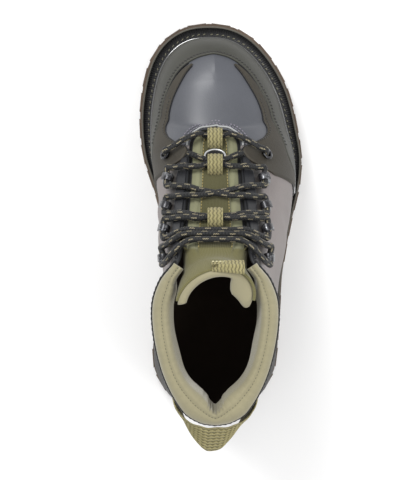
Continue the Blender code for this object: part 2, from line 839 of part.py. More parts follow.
def tube(name, points, radius, finish, collection):
    """A round cord or wire along points, as a mesh with welded caps."""
    curve = bpy.data.curves.new(name, "CURVE")
    curve.dimensions = "3D"
    curve.bevel_depth = radius
    curve.bevel_resolution = 1
    curve.use_fill_caps = True
    line = curve.splines.new("POLY")
    line.points.add(len(points) - 1)
    for knot, point in zip(line.points, points):
        knot.co = (*point, 1.0)
    bent = bpy.data.objects.new(name + "_path", curve)
    collection.objects.link(bent)
    graph = bpy.context.evaluated_depsgraph_get()
    mesh = bpy.data.meshes.new_from_object(bent.evaluated_get(graph))
    bpy.data.objects.remove(bent, do_unlink=True)
    form = bmesh.new()
    form.from_mesh(mesh)
    bmesh.ops.remove_doubles(form, verts=form.verts, dist=0.00001)
    bmesh.ops.recalc_face_normals(form, faces=form.faces)
    form.to_mesh(mesh)
    form.free()
    mesh.materials.clear()
    mesh.shade_smooth()
    return new_object(name, mesh, finish, collection)


def make_piping(finish, collection):
    lift = CLEARANCE + PIPING_RADIUS
    steps = 6
    points = []
    for k in range(-steps, steps + 1):
        base = THROAT_FOOT + (PIPING_END - THROAT_FOOT) * abs(k) / steps
        points.append(frame_at(LATERAL if k >= 0 else MEDIAL, base, PIPING_ROW, lift)[0])
    return tube("throat_piping", points, PIPING_RADIUS, finish, collection)


def height_over(panel, origin, normal, down, radius):
    """Height over a point at which a flat ring of a radius clears an overlay's outer face."""
    bpy.context.view_layer.update()
    tree = BVHTree.FromObject(panel, bpy.context.evaluated_depsgraph_get())
    above = 4 * WALL
    heights = []
    for k in range(24):
        turn = 2 * pi * k / 24
        start = placed([Vector((radius * cos(turn), radius * sin(turn), above))], origin, down, normal)[0]
        hit = tree.ray_cast(start, -normal, 2 * above)[0]
        if hit:
            heights.append((hit - origin).dot(normal))
    return max(heights)


def make_eyelet(name, side, panel, finish, collection):
    origin, normal, down = frame_at(side, *EYELET)
    origin += normal * (height_over(panel, origin, normal, down, EYELET_RADIUS) + CLEARANCE)
    section = [
        (EYELET_BORE, 0.0),
        (EYELET_RADIUS, 0.0),
        (EYELET_RADIUS - 0.0004, EYELET_HEIGHT * 0.7),
        ((EYELET_RADIUS + EYELET_BORE) / 2, EYELET_HEIGHT),
        (EYELET_BORE, EYELET_HEIGHT * 0.7),
    ]
    rows = []
    for k in range(12):
        turn = 2 * pi * k / 12
        ring = [Vector((r * cos(turn), r * sin(turn), z)) for r, z in section]
        rows.append(placed(ring, origin, down, normal))
    mesh = grid_mesh(name, rows, closed_across=True, closed_along=True)
    return new_object(name, mesh, finish, collection)


def hook_profile():
    """Side view of a lace hook: a base strip that curls up and back over the lace."""
    inner = LACE_RADIUS + LACE_GAP
    outer = inner + HOOK_STRIP
    centre = HOOK_STRIP + inner
    steps = 6
    line = [(HOOK_BASE, 0.0), (0.0, 0.0)]
    line += [(-outer * sin(pi * k / steps), centre - outer * cos(pi * k / steps)) for k in range(1, steps)]
    line += [(0.0, centre + outer), (0.6 * HOOK_BASE, centre + outer)]
    line += [(0.6 * HOOK_BASE, centre + inner), (0.0, centre + inner)]
    line += [(-inner * sin(pi * k / steps), centre + inner * cos(pi * k / steps)) for k in range(1, steps)]
    line += [(0.0, HOOK_STRIP), (HOOK_BASE, HOOK_STRIP)]
    return line


def make_hook(name, side, seat, upper, finish, collection):
    origin, normal, down = frame_at(side, *seat)
    origin += normal * (height_over(upper, origin, normal, down, HOOK_BASE / 2) + CLEARANCE)
    rows = []
    for y in (-HOOK_WIDTH / 2, HOOK_WIDTH / 2):
        points = [Vector((x, y, z)) for x, z in hook_profile()]
        rows.append(placed(points, origin, down, normal))
    mesh = grid_mesh(name, rows, closed_across=True, capped=True)
    return new_object(name, mesh, finish, collection)


def lace_end(number, past):
    """Rib, reach along it and place across the instep where a strand ends on one side."""
    if number == 0:
        return (EYELET.base, 1 - EYELET.row, 1.0) if past else (EYELET.base, 0.01, 0.57)
    seat = HOOKS[number - 1]
    aside = HOOK_WIDTH / 2 + LACE_RADIUS + LACE_GAP + LACE_ASIDE
    aside /= pi / 2 * SOLE_LENGTH * sin(pi * seat.base)
    return seat.base + past * aside, 1 - seat.row, 1.0


def make_strand(strand, name, finish, collection):
    lateral_base, lateral_reach, lateral_end = lace_end(strand.lateral, strand.lateral_past)
    medial_base, medial_reach, medial_end = lace_end(strand.medial, strand.medial_past)
    over_wall = LACE_RADIUS + 2 * CLEARANCE
    points = []
    for k in range(LACE_STEPS + 1):
        s = -medial_end + (lateral_end + medial_end) * k / LACE_STEPS
        share = ease(-1.0, 1.0, s)
        base = medial_base + (lateral_base - medial_base) * share
        reach = lateral_reach if s > 0 else medial_reach
        base += strand.bow * (1 - ease(0.30, 0.95, abs(s)))
        if strand.piece == 1:
            lift_over = 2 * PIPING_RADIUS + CLEARANCE + (EYELET_HEIGHT + 3 * CLEARANCE) * ease(0.7, 1.0, abs(s))
        else:
            lift_over = 0.0
        panel = (PANEL_GAP + RAND_THICKNESS) * ease(0.55, 0.64, abs(s)) * (base < SIDE_OVERLAY[-1].base)
        lift = over_wall * ease(0.28, 0.56, abs(s)) + LACE_DIP * (1 - ease(0.28, 0.56, abs(s))) + panel
        lift += lift_over * ease(0.25, 0.5, abs(s))
        lift += LACE_ASIDE * ease(0.59, 0.60, base)
        if strand.lateral + strand.medial > 0 and (medial_end if s < 0 else lateral_end) == 1.0:
            lift += (HOOK_STRIP + LACE_GAP) * ease(0.80, 1.0, abs(s))
        points.append(instep(base, s, lift, reach))
    return tube(name, points, LACE_RADIUS, finish, collection)


def make_keeper(name, base, finish, collection):
    """A webbing loop on the tongue that arches over the lace."""
    middle = instep(base, 0.0)
    back = (instep(base + 0.01, 0.0) - instep(base - 0.01, 0.0)).normalized()
    across = Vector((1.0, 0.0, 0.0))
    normal = back.cross(across).normalized()
    foot = -(WALL + TONGUE_WALL_GAP) + CLEARANCE * 2
    top = LACE_DIP + LACE_RADIUS + KEEPER_HEADROOM + WEBBING
    profile = []
    steps = 8
    for reach, height in ((KEEPER_REACH, top - foot), (KEEPER_REACH - WEBBING, top - foot - WEBBING)):
        arc = [(-reach * cos(pi * k / steps), foot + height * sin(pi * k / steps)) for k in range(steps + 1)]
        profile += arc if not profile else arc[::-1]
    rows = []
    for x in (-KEEPER_WIDTH / 2, 0.0, KEEPER_WIDTH / 2):
        rows.append([middle + across * x + back * t + normal * n for t, n in profile])
    mesh = grid_mesh(name, rows, closed_across=True, capped=True)
    return new_object(name, mesh, finish, collection)


def make_tongue_pull(finish, collection):
    """Webbing tab folded over the tongue's top edge, beside its middle."""
    last = len(TONGUE_TOP) - 1
    half = TONGUE_TOP[-1].half * COLLAR_WIDTH
    stop = asin(sin(PULL_START * pi / 2) + PULL_WIDTH / half) * 2 / pi
    rows = []
    for k in range(7):
        s = PULL_START + (stop - PULL_START) * k / 6
        out = (tongue_top(last, s + 0.02) - tongue_top(last, s - 0.02)).cross(
            tongue_top(last, s) - tongue_top(last - 0.5, s)
        ).normalized()
        if out.y < 0:
            out = -out
        up = (tongue_top(last, s) - tongue_top(last - 0.5, s)).normalized()
        gap = 2 * CLEARANCE
        row = [tongue_top(last - level, s) + out * gap for level in (PULL_FOOT, PULL_BEND)]
        top = tongue_top(last, s)
        row.append(top + out * gap + up * gap)
        row.append(top - out * (TONGUE_THICKNESS + gap) + up * gap)
        row.append(top - out * (TONGUE_THICKNESS + gap) - up * WEBBING * 3)
        rows.append(row)
    made = new_object("tongue_pull", grid_mesh("tongue_pull", rows, reverse=True), finish, collection)
    return thicken(made, WEBBING, outward=True)


def make_heel_loop(finish, collection):
    """Ribbed webbing behind the collar, sewn to its sides and standing off the heel."""
    gap = 2 * CLEARANCE
    tab, leave = 0.845, 0.885
    high, low = 0.965, 0.790
    rows = [[skin(u, v, -gap) for v in (high, low)] for u in (tab, leave)]
    upper, lower = rows[-1]
    back = skin(1.0, 1.0)
    steps = 12
    for k in range(1, steps):
        turn = pi * k / steps
        side = cos(turn)
        rise = sin(turn)
        top = Vector((
            upper.x * side,
            upper.y - (upper.y - back.y + LOOP_SLACK) * rise,
            upper.z + (back.z - upper.z) * rise,
        ))
        bottom_y = lower.y - (lower.y - back.y + LOOP_SLACK + LOOP_REACH) * rise**LOOP_POINT
        drop = sqrt(max(LOOP_WIDTH**2 - (top.y - bottom_y) ** 2, 0.0))
        ease_in = ease(0.0, LOOP_EASE, rise)
        bottom_z = lower.z + (top.z - drop - lower.z) * ease_in
        rows.append([top, Vector((lower.x * side - LOOP_SLACK * rise, bottom_y, bottom_z))])
    rows += [[skin(2 - u, v, -gap) for v in (high, low)] for u in (leave, tab)]
    made = new_object("heel_loop", grid_mesh("heel_loop", rows, reverse=False), finish, collection)
    return thicken(made, LOOP_THICKNESS, outward=True)


def seat_on_origin(collection):
    """Moves the whole boot so that the bottom centre of its box is the origin."""
    bpy.context.view_layer.update()
    graph = bpy.context.evaluated_depsgraph_get()
    corners = []
    for made in collection.objects:
        shape = made.evaluated_get(graph)
        corners += [shape.matrix_world @ Vector(corner) for corner in shape.bound_box]
    low = Vector([min(c[i] for c in corners) for i in range(3)])
    high = Vector([max(c[i] for c in corners) for i in range(3)])
    anchor = bpy.data.objects.new("boot_frame", None)
    collection.objects.link(anchor)
    anchor.location = (-(low.x + high.x) / 2, -(low.y + high.y) / 2, -low.z)
    for held in bpy.data.objects:
        if held != anchor and held.parent is None:
            held.parent = anchor
    return anchor


def make_laces(finish, collection, cutters):
    pieces = {}
    for strand in STRANDS:
        name = f"lace_{strand.piece}"
        if name not in pieces:
            pieces[name] = make_strand(strand, name, finish, collection)
            continue
        partner = make_strand(strand, name + "_partner", finish, cutters)
        partner.hide_render = True
        partner.display_type = "WIRE"
        joint = pieces[name].modifiers.new("crossing", "BOOLEAN")
        joint.operation = "UNION"
        joint.object = partner
    return pieces


def main():
    for old in list(bpy.data.objects):
        bpy.data.objects.remove(old, do_unlink=True)
    boot = bpy.data.collections.new("wading_boot")
    cutters = bpy.data.collections.new("cutters")
    bpy.context.scene.collection.children.link(boot)
    bpy.context.scene.collection.children.link(cutters)
    rubber = material("outsole_rubber", (0.06, 0.062, 0.038), 0.75)
    foam = material("midsole_foam", (0.05, 0.05, 0.045), 0.8)
    welt_black = material("welt_rubber", (0.012, 0.012, 0.013), 0.55)
    felt = material("insole_fabric", (0.03, 0.025, 0.022), 0.95)
    quarter = material("upper_leather", (0.22, 0.20, 0.20), 0.55)
    olive = material("overlay_leather", (0.09, 0.09, 0.07), 0.6)
    sage = material("lining_fabric", (0.38, 0.37, 0.24), 0.9)
    moss = material("tongue_fabric", (0.11, 0.11, 0.05), 0.9)
    tan = material("webbing", (0.40, 0.36, 0.22), 0.85)
    steel = material("hardware", (0.25, 0.25, 0.25), 0.3, 1.0)
    black = material("lace", (0.015, 0.015, 0.016), 0.8)
    bores = make_eyelet_bores(cutters)
    make_outsole(rubber, boot, cutters)
    make_midsole(foam, boot)
    make_welt(welt_black, boot)
    make_insole(felt, boot)
    upper = make_upper(quarter, boot, bores)
    rand_end = RAND[-1].base
    make_panel("toe_rand", RAND, columns_between(-rand_end, rand_end, COLUMNS), olive, boot)
    first, last = SIDE_OVERLAY[0].base, SIDE_OVERLAY[-1].base
    places = columns_between(first, last, PANEL_COLUMNS)
    lateral = make_panel("overlay_lateral", SIDE_OVERLAY, places, olive, boot, bores[:1])
    places = columns_between(2 - last, 2 - first, PANEL_COLUMNS)
    medial = make_panel("overlay_medial", SIDE_OVERLAY, places, olive, boot, bores[1:])
    counter = COUNTER[0].base
    places = columns_between(counter, 2 - counter, COLUMNS)
    make_panel("heel_counter", COUNTER, places, olive, boot)
    make_collar_pad(sage, boot)
    make_tongue(moss, boot)
    make_piping(tan, boot)
    for side, label, panel in ((LATERAL, "lateral", lateral), (MEDIAL, "medial", medial)):
        make_eyelet(f"eyelet_{label}", side, panel, steel, boot)
        for number, seat in enumerate(HOOKS, 1):
            make_hook(f"hook_{number}_{label}", side, seat, upper, steel, boot)
    make_laces(black, boot, cutters)
    for number, base in enumerate(KEEPERS, 1):
        make_keeper(f"keeper_{number}", base, tan, boot)
    make_tongue_pull(tan, boot)
    make_heel_loop(tan, boot)
    seat_on_origin(boot)


main()
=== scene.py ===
"""Finishes of the wading boot: leathers, fabrics, rubber, metal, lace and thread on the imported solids."""

from collections import namedtuple
from contextlib import contextmanager
from functools import lru_cache
from math import cos, pi, radians, sin, sqrt

import bmesh
import bpy
import numpy as np
from bpy.props import FloatProperty, FloatVectorProperty, PointerProperty
from bpy.types import Operator, Panel, PropertyGroup
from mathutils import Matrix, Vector


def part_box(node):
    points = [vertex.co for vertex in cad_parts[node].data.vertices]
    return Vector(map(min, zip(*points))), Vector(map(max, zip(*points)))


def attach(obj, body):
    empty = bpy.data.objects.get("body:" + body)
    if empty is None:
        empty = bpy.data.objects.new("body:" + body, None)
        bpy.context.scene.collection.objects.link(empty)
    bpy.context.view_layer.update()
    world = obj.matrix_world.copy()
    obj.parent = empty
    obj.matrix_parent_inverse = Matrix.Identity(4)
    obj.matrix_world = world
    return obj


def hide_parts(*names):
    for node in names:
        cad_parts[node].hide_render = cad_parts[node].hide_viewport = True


bl_info = {
    "name": "Wading boot finishes",
    "version": (1, 0, 0),
    "blender": (4, 5, 0),
    "location": "3D View > Sidebar > Boot",
    "description": "Dresses the solids of a laced wading boot in leather, fabric, rubber and metal",
    "category": "Object",
}

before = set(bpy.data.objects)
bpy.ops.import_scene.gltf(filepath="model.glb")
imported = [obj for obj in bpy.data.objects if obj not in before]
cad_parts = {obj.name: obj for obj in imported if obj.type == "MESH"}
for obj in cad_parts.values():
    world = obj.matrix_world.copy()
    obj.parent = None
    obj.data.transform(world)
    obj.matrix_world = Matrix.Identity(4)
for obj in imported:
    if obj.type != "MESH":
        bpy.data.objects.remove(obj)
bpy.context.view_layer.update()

# Sole
SOLE_LENGTH = 0.302
BALL_WIDTH = 0.1235
HEEL_WIDTH = 0.0975
TOE_ROUNDING = 0.095
TOE_POWER = 2.3
CREST_ROUNDING = 0.012
CREST_FRONT = 0.022
CREST_FADE = 0.018
TOE_SPRING = 0.010
SPRING_START = 0.225
LUG_DEPTH = 0.005
PLATE_THICKNESS = 0.005
MIDSOLE_HEEL = 0.020
MIDSOLE_BALL = 0.012
WELT_HEIGHT = 0.0045
WELT_LIP = 0.0011
STITCH_CHANNEL = 0.0013

# Upper, lining and tongue
WALL = 0.0024
COLLAR_HEIGHT = 0.166
COLLAR_WIDTH = 0.086
PANEL_GAP = 0.0005
CLEARANCE = 0.0003
PAD_THICKNESS = 0.0092
PAD_RISE = 0.0085
PAD_SHARE = 0.50
TONGUE_THICKNESS = 0.0055
TONGUE_SKEW = 0.0058
TONGUE_WALL_GAP = 0.0012
TONGUE_SHEET = 0.0022
ROLL_WIDTH = 0.0060
ROLL_THICKNESS = 0.0060
LOBE_WIDTH = 0.0160
WEBBING = 0.0012
PULL_WIDTH = 0.023
PULL_RIBS = 9
PULL_RIB_DEPTH = 0.00035
LOOP_WIDTH = 0.025
LOOP_THICKNESS = 0.0016
LOOP_REACH = 0.0182
LOOP_SLACK = 0.0025

# Lacing
LACE_GAP = 0.0004
LACE_DIP = 0.0012
LACE_ASIDE = 0.0013
END_LIFTS = (-0.0035, 0.0010)
KEEPER_WIDTH = 0.0108
KEEPER_REACH = 0.0082
KEEPER_HEADROOM = 0.0026
POCKET_RADIUS = 0.0074
EYELET_BORE = 0.0027
EYELET_RADIUS = 0.0046
EYELET_HEIGHT = 0.0011
HOOK_STRIP = 0.0010
HOOK_WIDTH = 0.0055
HOOK_BASE = 0.0060
PIPING_RADIUS = 0.0009

# Stitches: pitch, length of the thread that shows, and its width
WELT_STITCH = (0.0043, 0.0022, 0.00085)
THROAT_STITCH = (0.0026, 0.0017, 0.0010)
LINING_STITCH = (0.0024, 0.0015, 0.0007)
TONGUE_STITCH = (0.0030, 0.0019, 0.0008)
PULL_STITCH = (0.0026, 0.0017, 0.0009)

# Rows of stitches: their distances from the edge that they follow
STITCH_ROWS = (0.0028, 0.0050)
THROAT_ROWS = (0.0026, 0.0050)
OVERLAY_ROW = 0.0026

# The upper and the instep. RIB_LENGTH: usual length of a rib. PIPING_ROW: row of the throat's edge.
# PIPING_END: place where its piping ends. EDGE_SHARE: where the open middle of the instep meets the
# upper, as a share of half its breadth. BRIDGE_FULLNESS, STEEPEST_BRIDGE: shape of the arch over it.
RIB_LENGTH = 0.13
PIPING_ROW = 0.985
PIPING_END = 0.400
EDGE_SHARE = 0.6
BRIDGE_FULLNESS = 0.36
STEEPEST_BRIDGE = 0.55

# Cords. END and START: places along a side. ROW: share of the way from the welt to the topline.
FEATHER_END = 0.46
FEATHER_ROW = 0.058
FEATHER_RADIUS = 0.0011
BINDING_START = 0.606
BINDING_ROW = 0.992
BINDING_RADIUS = 0.0015
BINDING_BUMPS = 0.12

# Seam of the lining: its depth and width, and the lengths of the waves beside it and at the heel
SEAM_DEPTH = 0.0013
SEAM_WIDTH = 0.0011
PUCKER_LENGTH = 0.0052
PUCKER_HEIGHT = 0.00013
GATHER_LENGTH = 0.0028
GATHER_HEIGHT = 0.0009

# Points along each side of the sole's edge, and along a strand of the lace
SOLE_COLUMNS = 192
STRAND_STEPS = 26

LATERAL = 1
MEDIAL = -1
BODY = "root"

# Plan of the sole. along: share of the length from the heel tip. half: share of half the local
# width. shift: sideways bend of the middle line, as a share of the ball width.
Plan = namedtuple("Plan", "along half shift")
PLAN = [
    Plan(0.00, 1.00, 0.000),
    Plan(0.16, 1.00, 0.002),
    Plan(0.30, 0.97, 0.034),
    Plan(0.42, 0.89, 0.069),
    Plan(0.50, 0.88, 0.078),
    Plan(0.58, 0.93, 0.074),
    Plan(0.66, 1.00, 0.050),
    Plan(0.74, 1.00, 0.024),
    Plan(0.83, 1.00, 0.004),
    Plan(0.93, 1.00, -0.026),
    Plan(1.00, 1.00, -0.036),
]

# Ledges of the sole seen from above. base: place along a side, 0 at the toe tip and 1 at the heel
# tip. step: outsole beyond midsole. ledge: welt beyond the foot of the upper, in metres.
Ledge = namedtuple("Ledge", "base step ledge")
LEDGES = [
    Ledge(0.00, 0.0043, 0.0103),
    Ledge(0.20, 0.0036, 0.0100),
    Ledge(0.35, 0.0024, 0.0092),
    Ledge(0.42, 0.0020, 0.0070),
    Ledge(0.50, 0.0018, 0.0034),
    Ledge(0.70, 0.0022, 0.0028),
    Ledge(1.00, 0.0026, 0.0030),
]

# Ribs of the upper, from the welt up to the topline. base: place along a side. along: share of the
# sole's length. half: share of the collar's width. height, low, high: shares of the collar's height,
# the last two being the lengths of the curve's handles. lean: outward tilt at the foot, in degrees.
# turn: plan direction of the surface at the top, 0 backwards, 90 to the middle, 180 forwards.
# pitch: its angle above the horizontal.
Rib = namedtuple("Rib", "base along half height lean low turn pitch high")
RIBS = [
    Rib(0.0000, 0.868, 0.000, 0.428, 3, 0.165, 0, 9, 0.100),
    Rib(0.1000, 0.845, 0.000, 0.438, 3, 0.165, 30, 9, 0.125),
    Rib(0.2000, 0.798, 0.000, 0.466, 3, 0.170, 62, 7, 0.180),
    Rib(0.3125, 0.724, 0.000, 0.524, 4, 0.178, 88, 4, 0.225),
    Rib(0.3440, 0.716, 0.115, 0.532, 5, 0.180, 88, 8, 0.182),
    Rib(0.3850, 0.690, 0.212, 0.556, 7, 0.183, 87, 15, 0.165),
    Rib(0.4300, 0.640, 0.218, 0.622, 10, 0.190, 86, 22, 0.178),
    Rib(0.5000, 0.545, 0.243, 0.765, 12, 0.202, 86, 34, 0.215),
    Rib(0.5600, 0.464, 0.275, 0.892, 11, 0.220, 90, 48, 0.240),
    Rib(0.6000, 0.404, 0.306, 1.012, 9, 0.240, 98, 76, 0.250),
    Rib(0.6500, 0.354, 0.436, 1.006, 7, 0.260, 105, 96, 0.260),
    Rib(0.7000, 0.298, 0.500, 0.994, 6, 0.275, 110, 102, 0.265),
    Rib(0.7700, 0.215, 0.483, 0.982, 6, 0.285, 125, 104, 0.275),
    Rib(0.8500, 0.126, 0.400, 0.970, 7, 0.290, 145, 104, 0.290),
    Rib(0.9300, 0.052, 0.250, 0.964, 9, 0.290, 165, 104, 0.300),
    Rib(0.9700, 0.028, 0.120, 0.964, 10, 0.290, 173, 104, 0.300),
    Rib(1.0000, 0.022, 0.000, 0.964, 10, 0.290, 180, 104, 0.300),
]
THROAT_FOOT = 0.3125

# Overlays on the upper. base: place along a side. low, high: their lower and upper edge, as shares
# of the way from the welt to the topline.
Band = namedtuple("Band", "base low high")
RAND = [
    Band(0.000, 0.062, 0.745),
    Band(0.020, 0.062, 0.730),
    Band(0.045, 0.062, 0.710),
    Band(0.070, 0.062, 0.688),
    Band(0.135, 0.062, 0.602),
    Band(0.200, 0.062, 0.526),
    Band(0.250, 0.062, 0.490),
    Band(0.300, 0.062, 0.455),
    Band(0.350, 0.062, 0.460),
    Band(0.400, 0.062, 0.430),
    Band(0.420, 0.062, 0.330),
    Band(0.4375, 0.062, 0.180),
]
SIDE_OVERLAY = [
    Band(0.140625, 0.635, 0.655),
    Band(0.170, 0.590, 0.640),
    Band(0.220, 0.530, 0.615),
    Band(0.270, 0.488, 0.580),
    Band(0.310, 0.474, 0.570),
    Band(0.350, 0.478, 0.610),
    Band(0.375, 0.468, 0.720),
    Band(0.392, 0.455, 0.850),
    Band(0.406, 0.435, 0.975),
    Band(0.422, 0.340, 0.965),
    Band(0.4375, 0.210, 0.880),
    Band(0.453125, 0.080, 0.660),
]
COUNTER = [
    Band(0.625, 0.062, 0.110),
    Band(0.670, 0.062, 0.360),
    Band(0.730, 0.062, 0.520),
    Band(0.800, 0.062, 0.600),
    Band(0.900, 0.062, 0.650),
    Band(1.000, 0.062, 0.670),
]
EYESTAY = [
    Band(0.425, 0.930, 0.985),
    Band(0.460, 0.895, 0.985),
    Band(0.520, 0.905, 0.985),
    Band(0.570, 0.910, 0.985),
    Band(0.598, 0.930, 0.975),
]

# Sections of the tongue under the eyestays and the vamp. base: the rib that it lies under. reach:
# how far down that rib its wings go, as a share of the rib.
Wing = namedtuple("Wing", "base reach")
TONGUE_WINGS = [
    Wing(0.316, 0.26),
    Wing(0.330, 0.21),
    Wing(0.350, 0.16),
    Wing(0.385, 0.11),
    Wing(0.440, 0.10),
    Wing(0.500, 0.09),
    Wing(0.545, 0.06),
    Wing(0.572, 0.03),
]

# The tongue above the throat, as arches. crest and wing: places along the sole, as shares of its
# length, and heights as shares of the collar's height. half: share of the collar's width.
Arch = namedtuple("Arch", "crest crest_height wing wing_height half")
TONGUE_TOP = [
    Arch(0.412, 1.030, 0.375, 0.950, 0.262),
    Arch(0.404, 1.068, 0.338, 0.985, 0.300),
    Arch(0.394, 1.105, 0.318, 1.035, 0.318),
    Arch(0.386, 1.130, 0.308, 1.062, 0.322),
]

# Soft folds of the upper. side, base, row: where the middle lies. length: half its run along the
# rib. width: half its breadth along the side. depth: in metres. slant: how far its top lies behind.
Fold = namedtuple("Fold", "side base row length width depth slant")
FOLDS = [
    Fold(LATERAL, 0.478, 0.52, 0.22, 0.016, 0.0010, 0.05),
    Fold(LATERAL, 0.520, 0.40, 0.20, 0.020, 0.0009, -0.04),
    Fold(MEDIAL, 0.486, 0.50, 0.20, 0.017, 0.0010, 0.05),
    Fold(MEDIAL, 0.535, 0.42, 0.22, 0.020, 0.0008, -0.05),
    Fold(LATERAL, 0.640, 0.72, 0.12, 0.022, 0.0010, -0.10),
    Fold(MEDIAL, 0.648, 0.70, 0.12, 0.022, 0.0011, -0.10),
    Fold(LATERAL, 0.780, 0.84, 0.07, 0.050, 0.0008, 0.10),
    Fold(MEDIAL, 0.800, 0.83, 0.07, 0.050, 0.0008, 0.12),
]

# Lacing hardware on both sides. base and row: its place on the upper.
Seat = namedtuple("Seat", "base row")
EYELET = Seat(0.419, 0.765)
HOOKS = [
    Seat(0.466, 0.835),
    Seat(0.515, 0.850),
    Seat(0.553, 0.855),
    Seat(0.592, 0.790),
]
KEEPERS = [0.378, 0.437, 0.534]

# Lace runs. lateral, medial: the hardware at a strand's ends, 0 for the eyelet and then the hooks
# upwards. past: on which side of that hardware it passes, -1 in front of it, 1 behind it. bow: how
# many ribs' worth its middle lies behind its ends.
Strand = namedtuple("Strand", "lateral lateral_past medial medial_past bow")
FIRST_BAR = Strand(0, 1, 0, 1, -0.047)
CLIMB = [
    Strand(0, 0, 1, -1, 0.0),
    Strand(2, -1, 1, 1, 0.0),
    Strand(2, 1, 3, -1, 0.0),
    Strand(3, 1, 3, 1, -0.010),
    Strand(3, -1, 2, 1, 0.0),
    Strand(1, 1, 2, -1, 0.0),
    Strand(1, -1, 0, 0, 0.0),
]
TOP_LOOP = [
    Strand(4, -1, 4, -1, -0.013),
    Strand(4, 1, 4, 1, -0.034),
]


def smooth(table, column, at):
    """Reads a column of a table at a value of its first column, through a smooth curve."""
    keys = [row[0] for row in table]
    values = [getattr(row, column) for row in table]
    at = min(max(at, keys[0]), keys[-1])
    last = len(keys) - 1
    i = max(k for k in range(last) if keys[k] <= at)
    span = keys[i + 1] - keys[i]

    def slope(k):
        a, b = max(k - 1, 0), min(k + 1, last)
        return (values[b] - values[a]) / (keys[b] - keys[a])

    t = (at - keys[i]) / span
    into = slope(i) * span
    out = slope(i + 1) * span
    return (
        values[i] * (2 * t**3 - 3 * t**2 + 1)
        + into * (t**3 - 2 * t**2 + t)
        + values[i + 1] * (3 * t**2 - 2 * t**3)
        + out * (t**3 - t**2)
    )


def column_of(table, column, places):
    """A column of a table at many places."""
    found = {place: smooth(table, column, place) for place in set(np.ravel(places))}
    return np.vectorize(found.get, otypes=[float])(places)


def ease(low, high, value):
    """Goes smoothly from 0 to 1 as a value goes from low to high, whichever is larger."""
    t = np.clip((value - low) / (high - low), 0.0, 1.0)
    return t * t * (3 - 2 * t)


def bell(distance, width):
    """1 at no distance, and close to 0 beyond twice the width."""
    return np.exp(-((distance / width) ** 2))


def unit(vectors):
    length = np.linalg.norm(vectors, axis=-1, keepdims=True)
    return vectors / np.maximum(length, 1e-12)


def plan_point(side, base):
    """Outermost edge of the sole at a place along one side, 0 at the toe tip, 1 at the heel tip."""
    y = SOLE_LENGTH * (1 + cos(pi * base)) / 2
    along = y / SOLE_LENGTH
    width = HEEL_WIDTH + (BALL_WIDTH - HEEL_WIDTH) * float(ease(0.30, 0.62, along))
    half = smooth(PLAN, "half", along) * width / 2
    from_toe = min((SOLE_LENGTH - y) / TOE_ROUNDING, 1.0)
    from_heel = min(y / (HEEL_WIDTH / 2), 1.0)
    half *= (1 - (1 - from_toe) ** TOE_POWER) ** (1 / TOE_POWER)
    half *= sqrt(1 - (1 - from_heel) ** 2)
    return Vector((smooth(PLAN, "shift", along) * BALL_WIDTH + side * half, y))


def plan_normal(side, base):
    """Outward direction of the sole's edge in plan."""
    if base in (0.0, 1.0):
        return Vector((0.0, 1.0 if base == 0.0 else -1.0))
    reach = 0.004
    tangent = plan_point(side, min(base + reach, 1.0)) - plan_point(side, max(base - reach, 0.0))
    return Vector((-tangent.y, tangent.x)).normalized() * side


def edge(side, base, inset):
    """Edge of the sole moved inwards by an inset."""
    return plan_point(side, base) - plan_normal(side, base) * inset


def split(u):
    """Side and place of a column. u runs from the toe tip (0) by the lateral side to the heel tip
    (1) and back by the medial side (2)."""
    u = u % 2.0
    return (LATERAL, u) if u <= 1.0 else (MEDIAL, 2.0 - u)


def bases_of(us):
    """Places along a side, 0 at the toe tip and 1 at the heel tip, of many columns."""
    return 1.0 - np.abs(1.0 - np.mod(us, 2.0))


def column_at(seat, side):
    """Column of a seat of the hardware on one side."""
    return seat.base if side == LATERAL else 2.0 - seat.base


def step_at(base):
    return smooth(LEDGES, "step", base)


def foot_inset(base):
    """How far the foot of the upper lies inside the outsole's edge."""
    return step_at(base) + smooth(LEDGES, "ledge", base)


def floor_line(y):
    """Height of the outsole's underside, which rises at the toe."""
    return TOE_SPRING * (max(y - SPRING_START, 0.0) / (SOLE_LENGTH - SPRING_START)) ** 2


def midsole_bottom(y):
    return floor_line(y) + LUG_DEPTH + PLATE_THICKNESS + CLEARANCE


def deck(y):
    """Height of the midsole's top."""
    wedge = float(ease(0.085, 0.180, y))
    return midsole_bottom(y) + MIDSOLE_HEEL + (MIDSOLE_BALL - MIDSOLE_HEEL) * wedge


def shift_to_frame():
    """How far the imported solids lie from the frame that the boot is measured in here."""
    low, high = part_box("midsole")
    columns = 32
    widest = max(edge(LATERAL, k / columns, step_at(k / columns)).x for k in range(columns + 1))
    return Vector((high.x - widest, low.y - step_at(1.0), 0.0))


SHIFT = shift_to_frame()


@lru_cache(maxsize=None)
def rib(u):
    """The four control points of the upper's rib at a column."""
    side, base = split(u)
    row = {name: smooth(RIBS, name, base) for name in Rib._fields[1:]}
    half = 0.0 if base <= THROAT_FOOT or base >= 1.0 else row["half"] * COLLAR_WIDTH
    foot = edge(side, base, foot_inset(base) + CLEARANCE)
    outward = plan_normal(side, base)
    lean, turn, pitch = (radians(row[name]) for name in ("lean", "turn", "pitch"))
    start = Vector((foot.x, foot.y, deck(foot.y) + CLEARANCE)) + SHIFT
    rise = Vector((outward.x * sin(lean), outward.y * sin(lean), cos(lean)))
    top = Vector((side * half, row["along"] * SOLE_LENGTH, row["height"] * COLLAR_HEIGHT)) + SHIFT
    inward = Vector((-side * sin(turn), -cos(turn), 0.0))
    arrive = inward * cos(pitch) + Vector((0.0, 0.0, sin(pitch)))
    return np.array([
        start,
        start + rise * row["low"] * COLLAR_HEIGHT,
        top - arrive * row["high"] * COLLAR_HEIGHT,
        top,
    ])


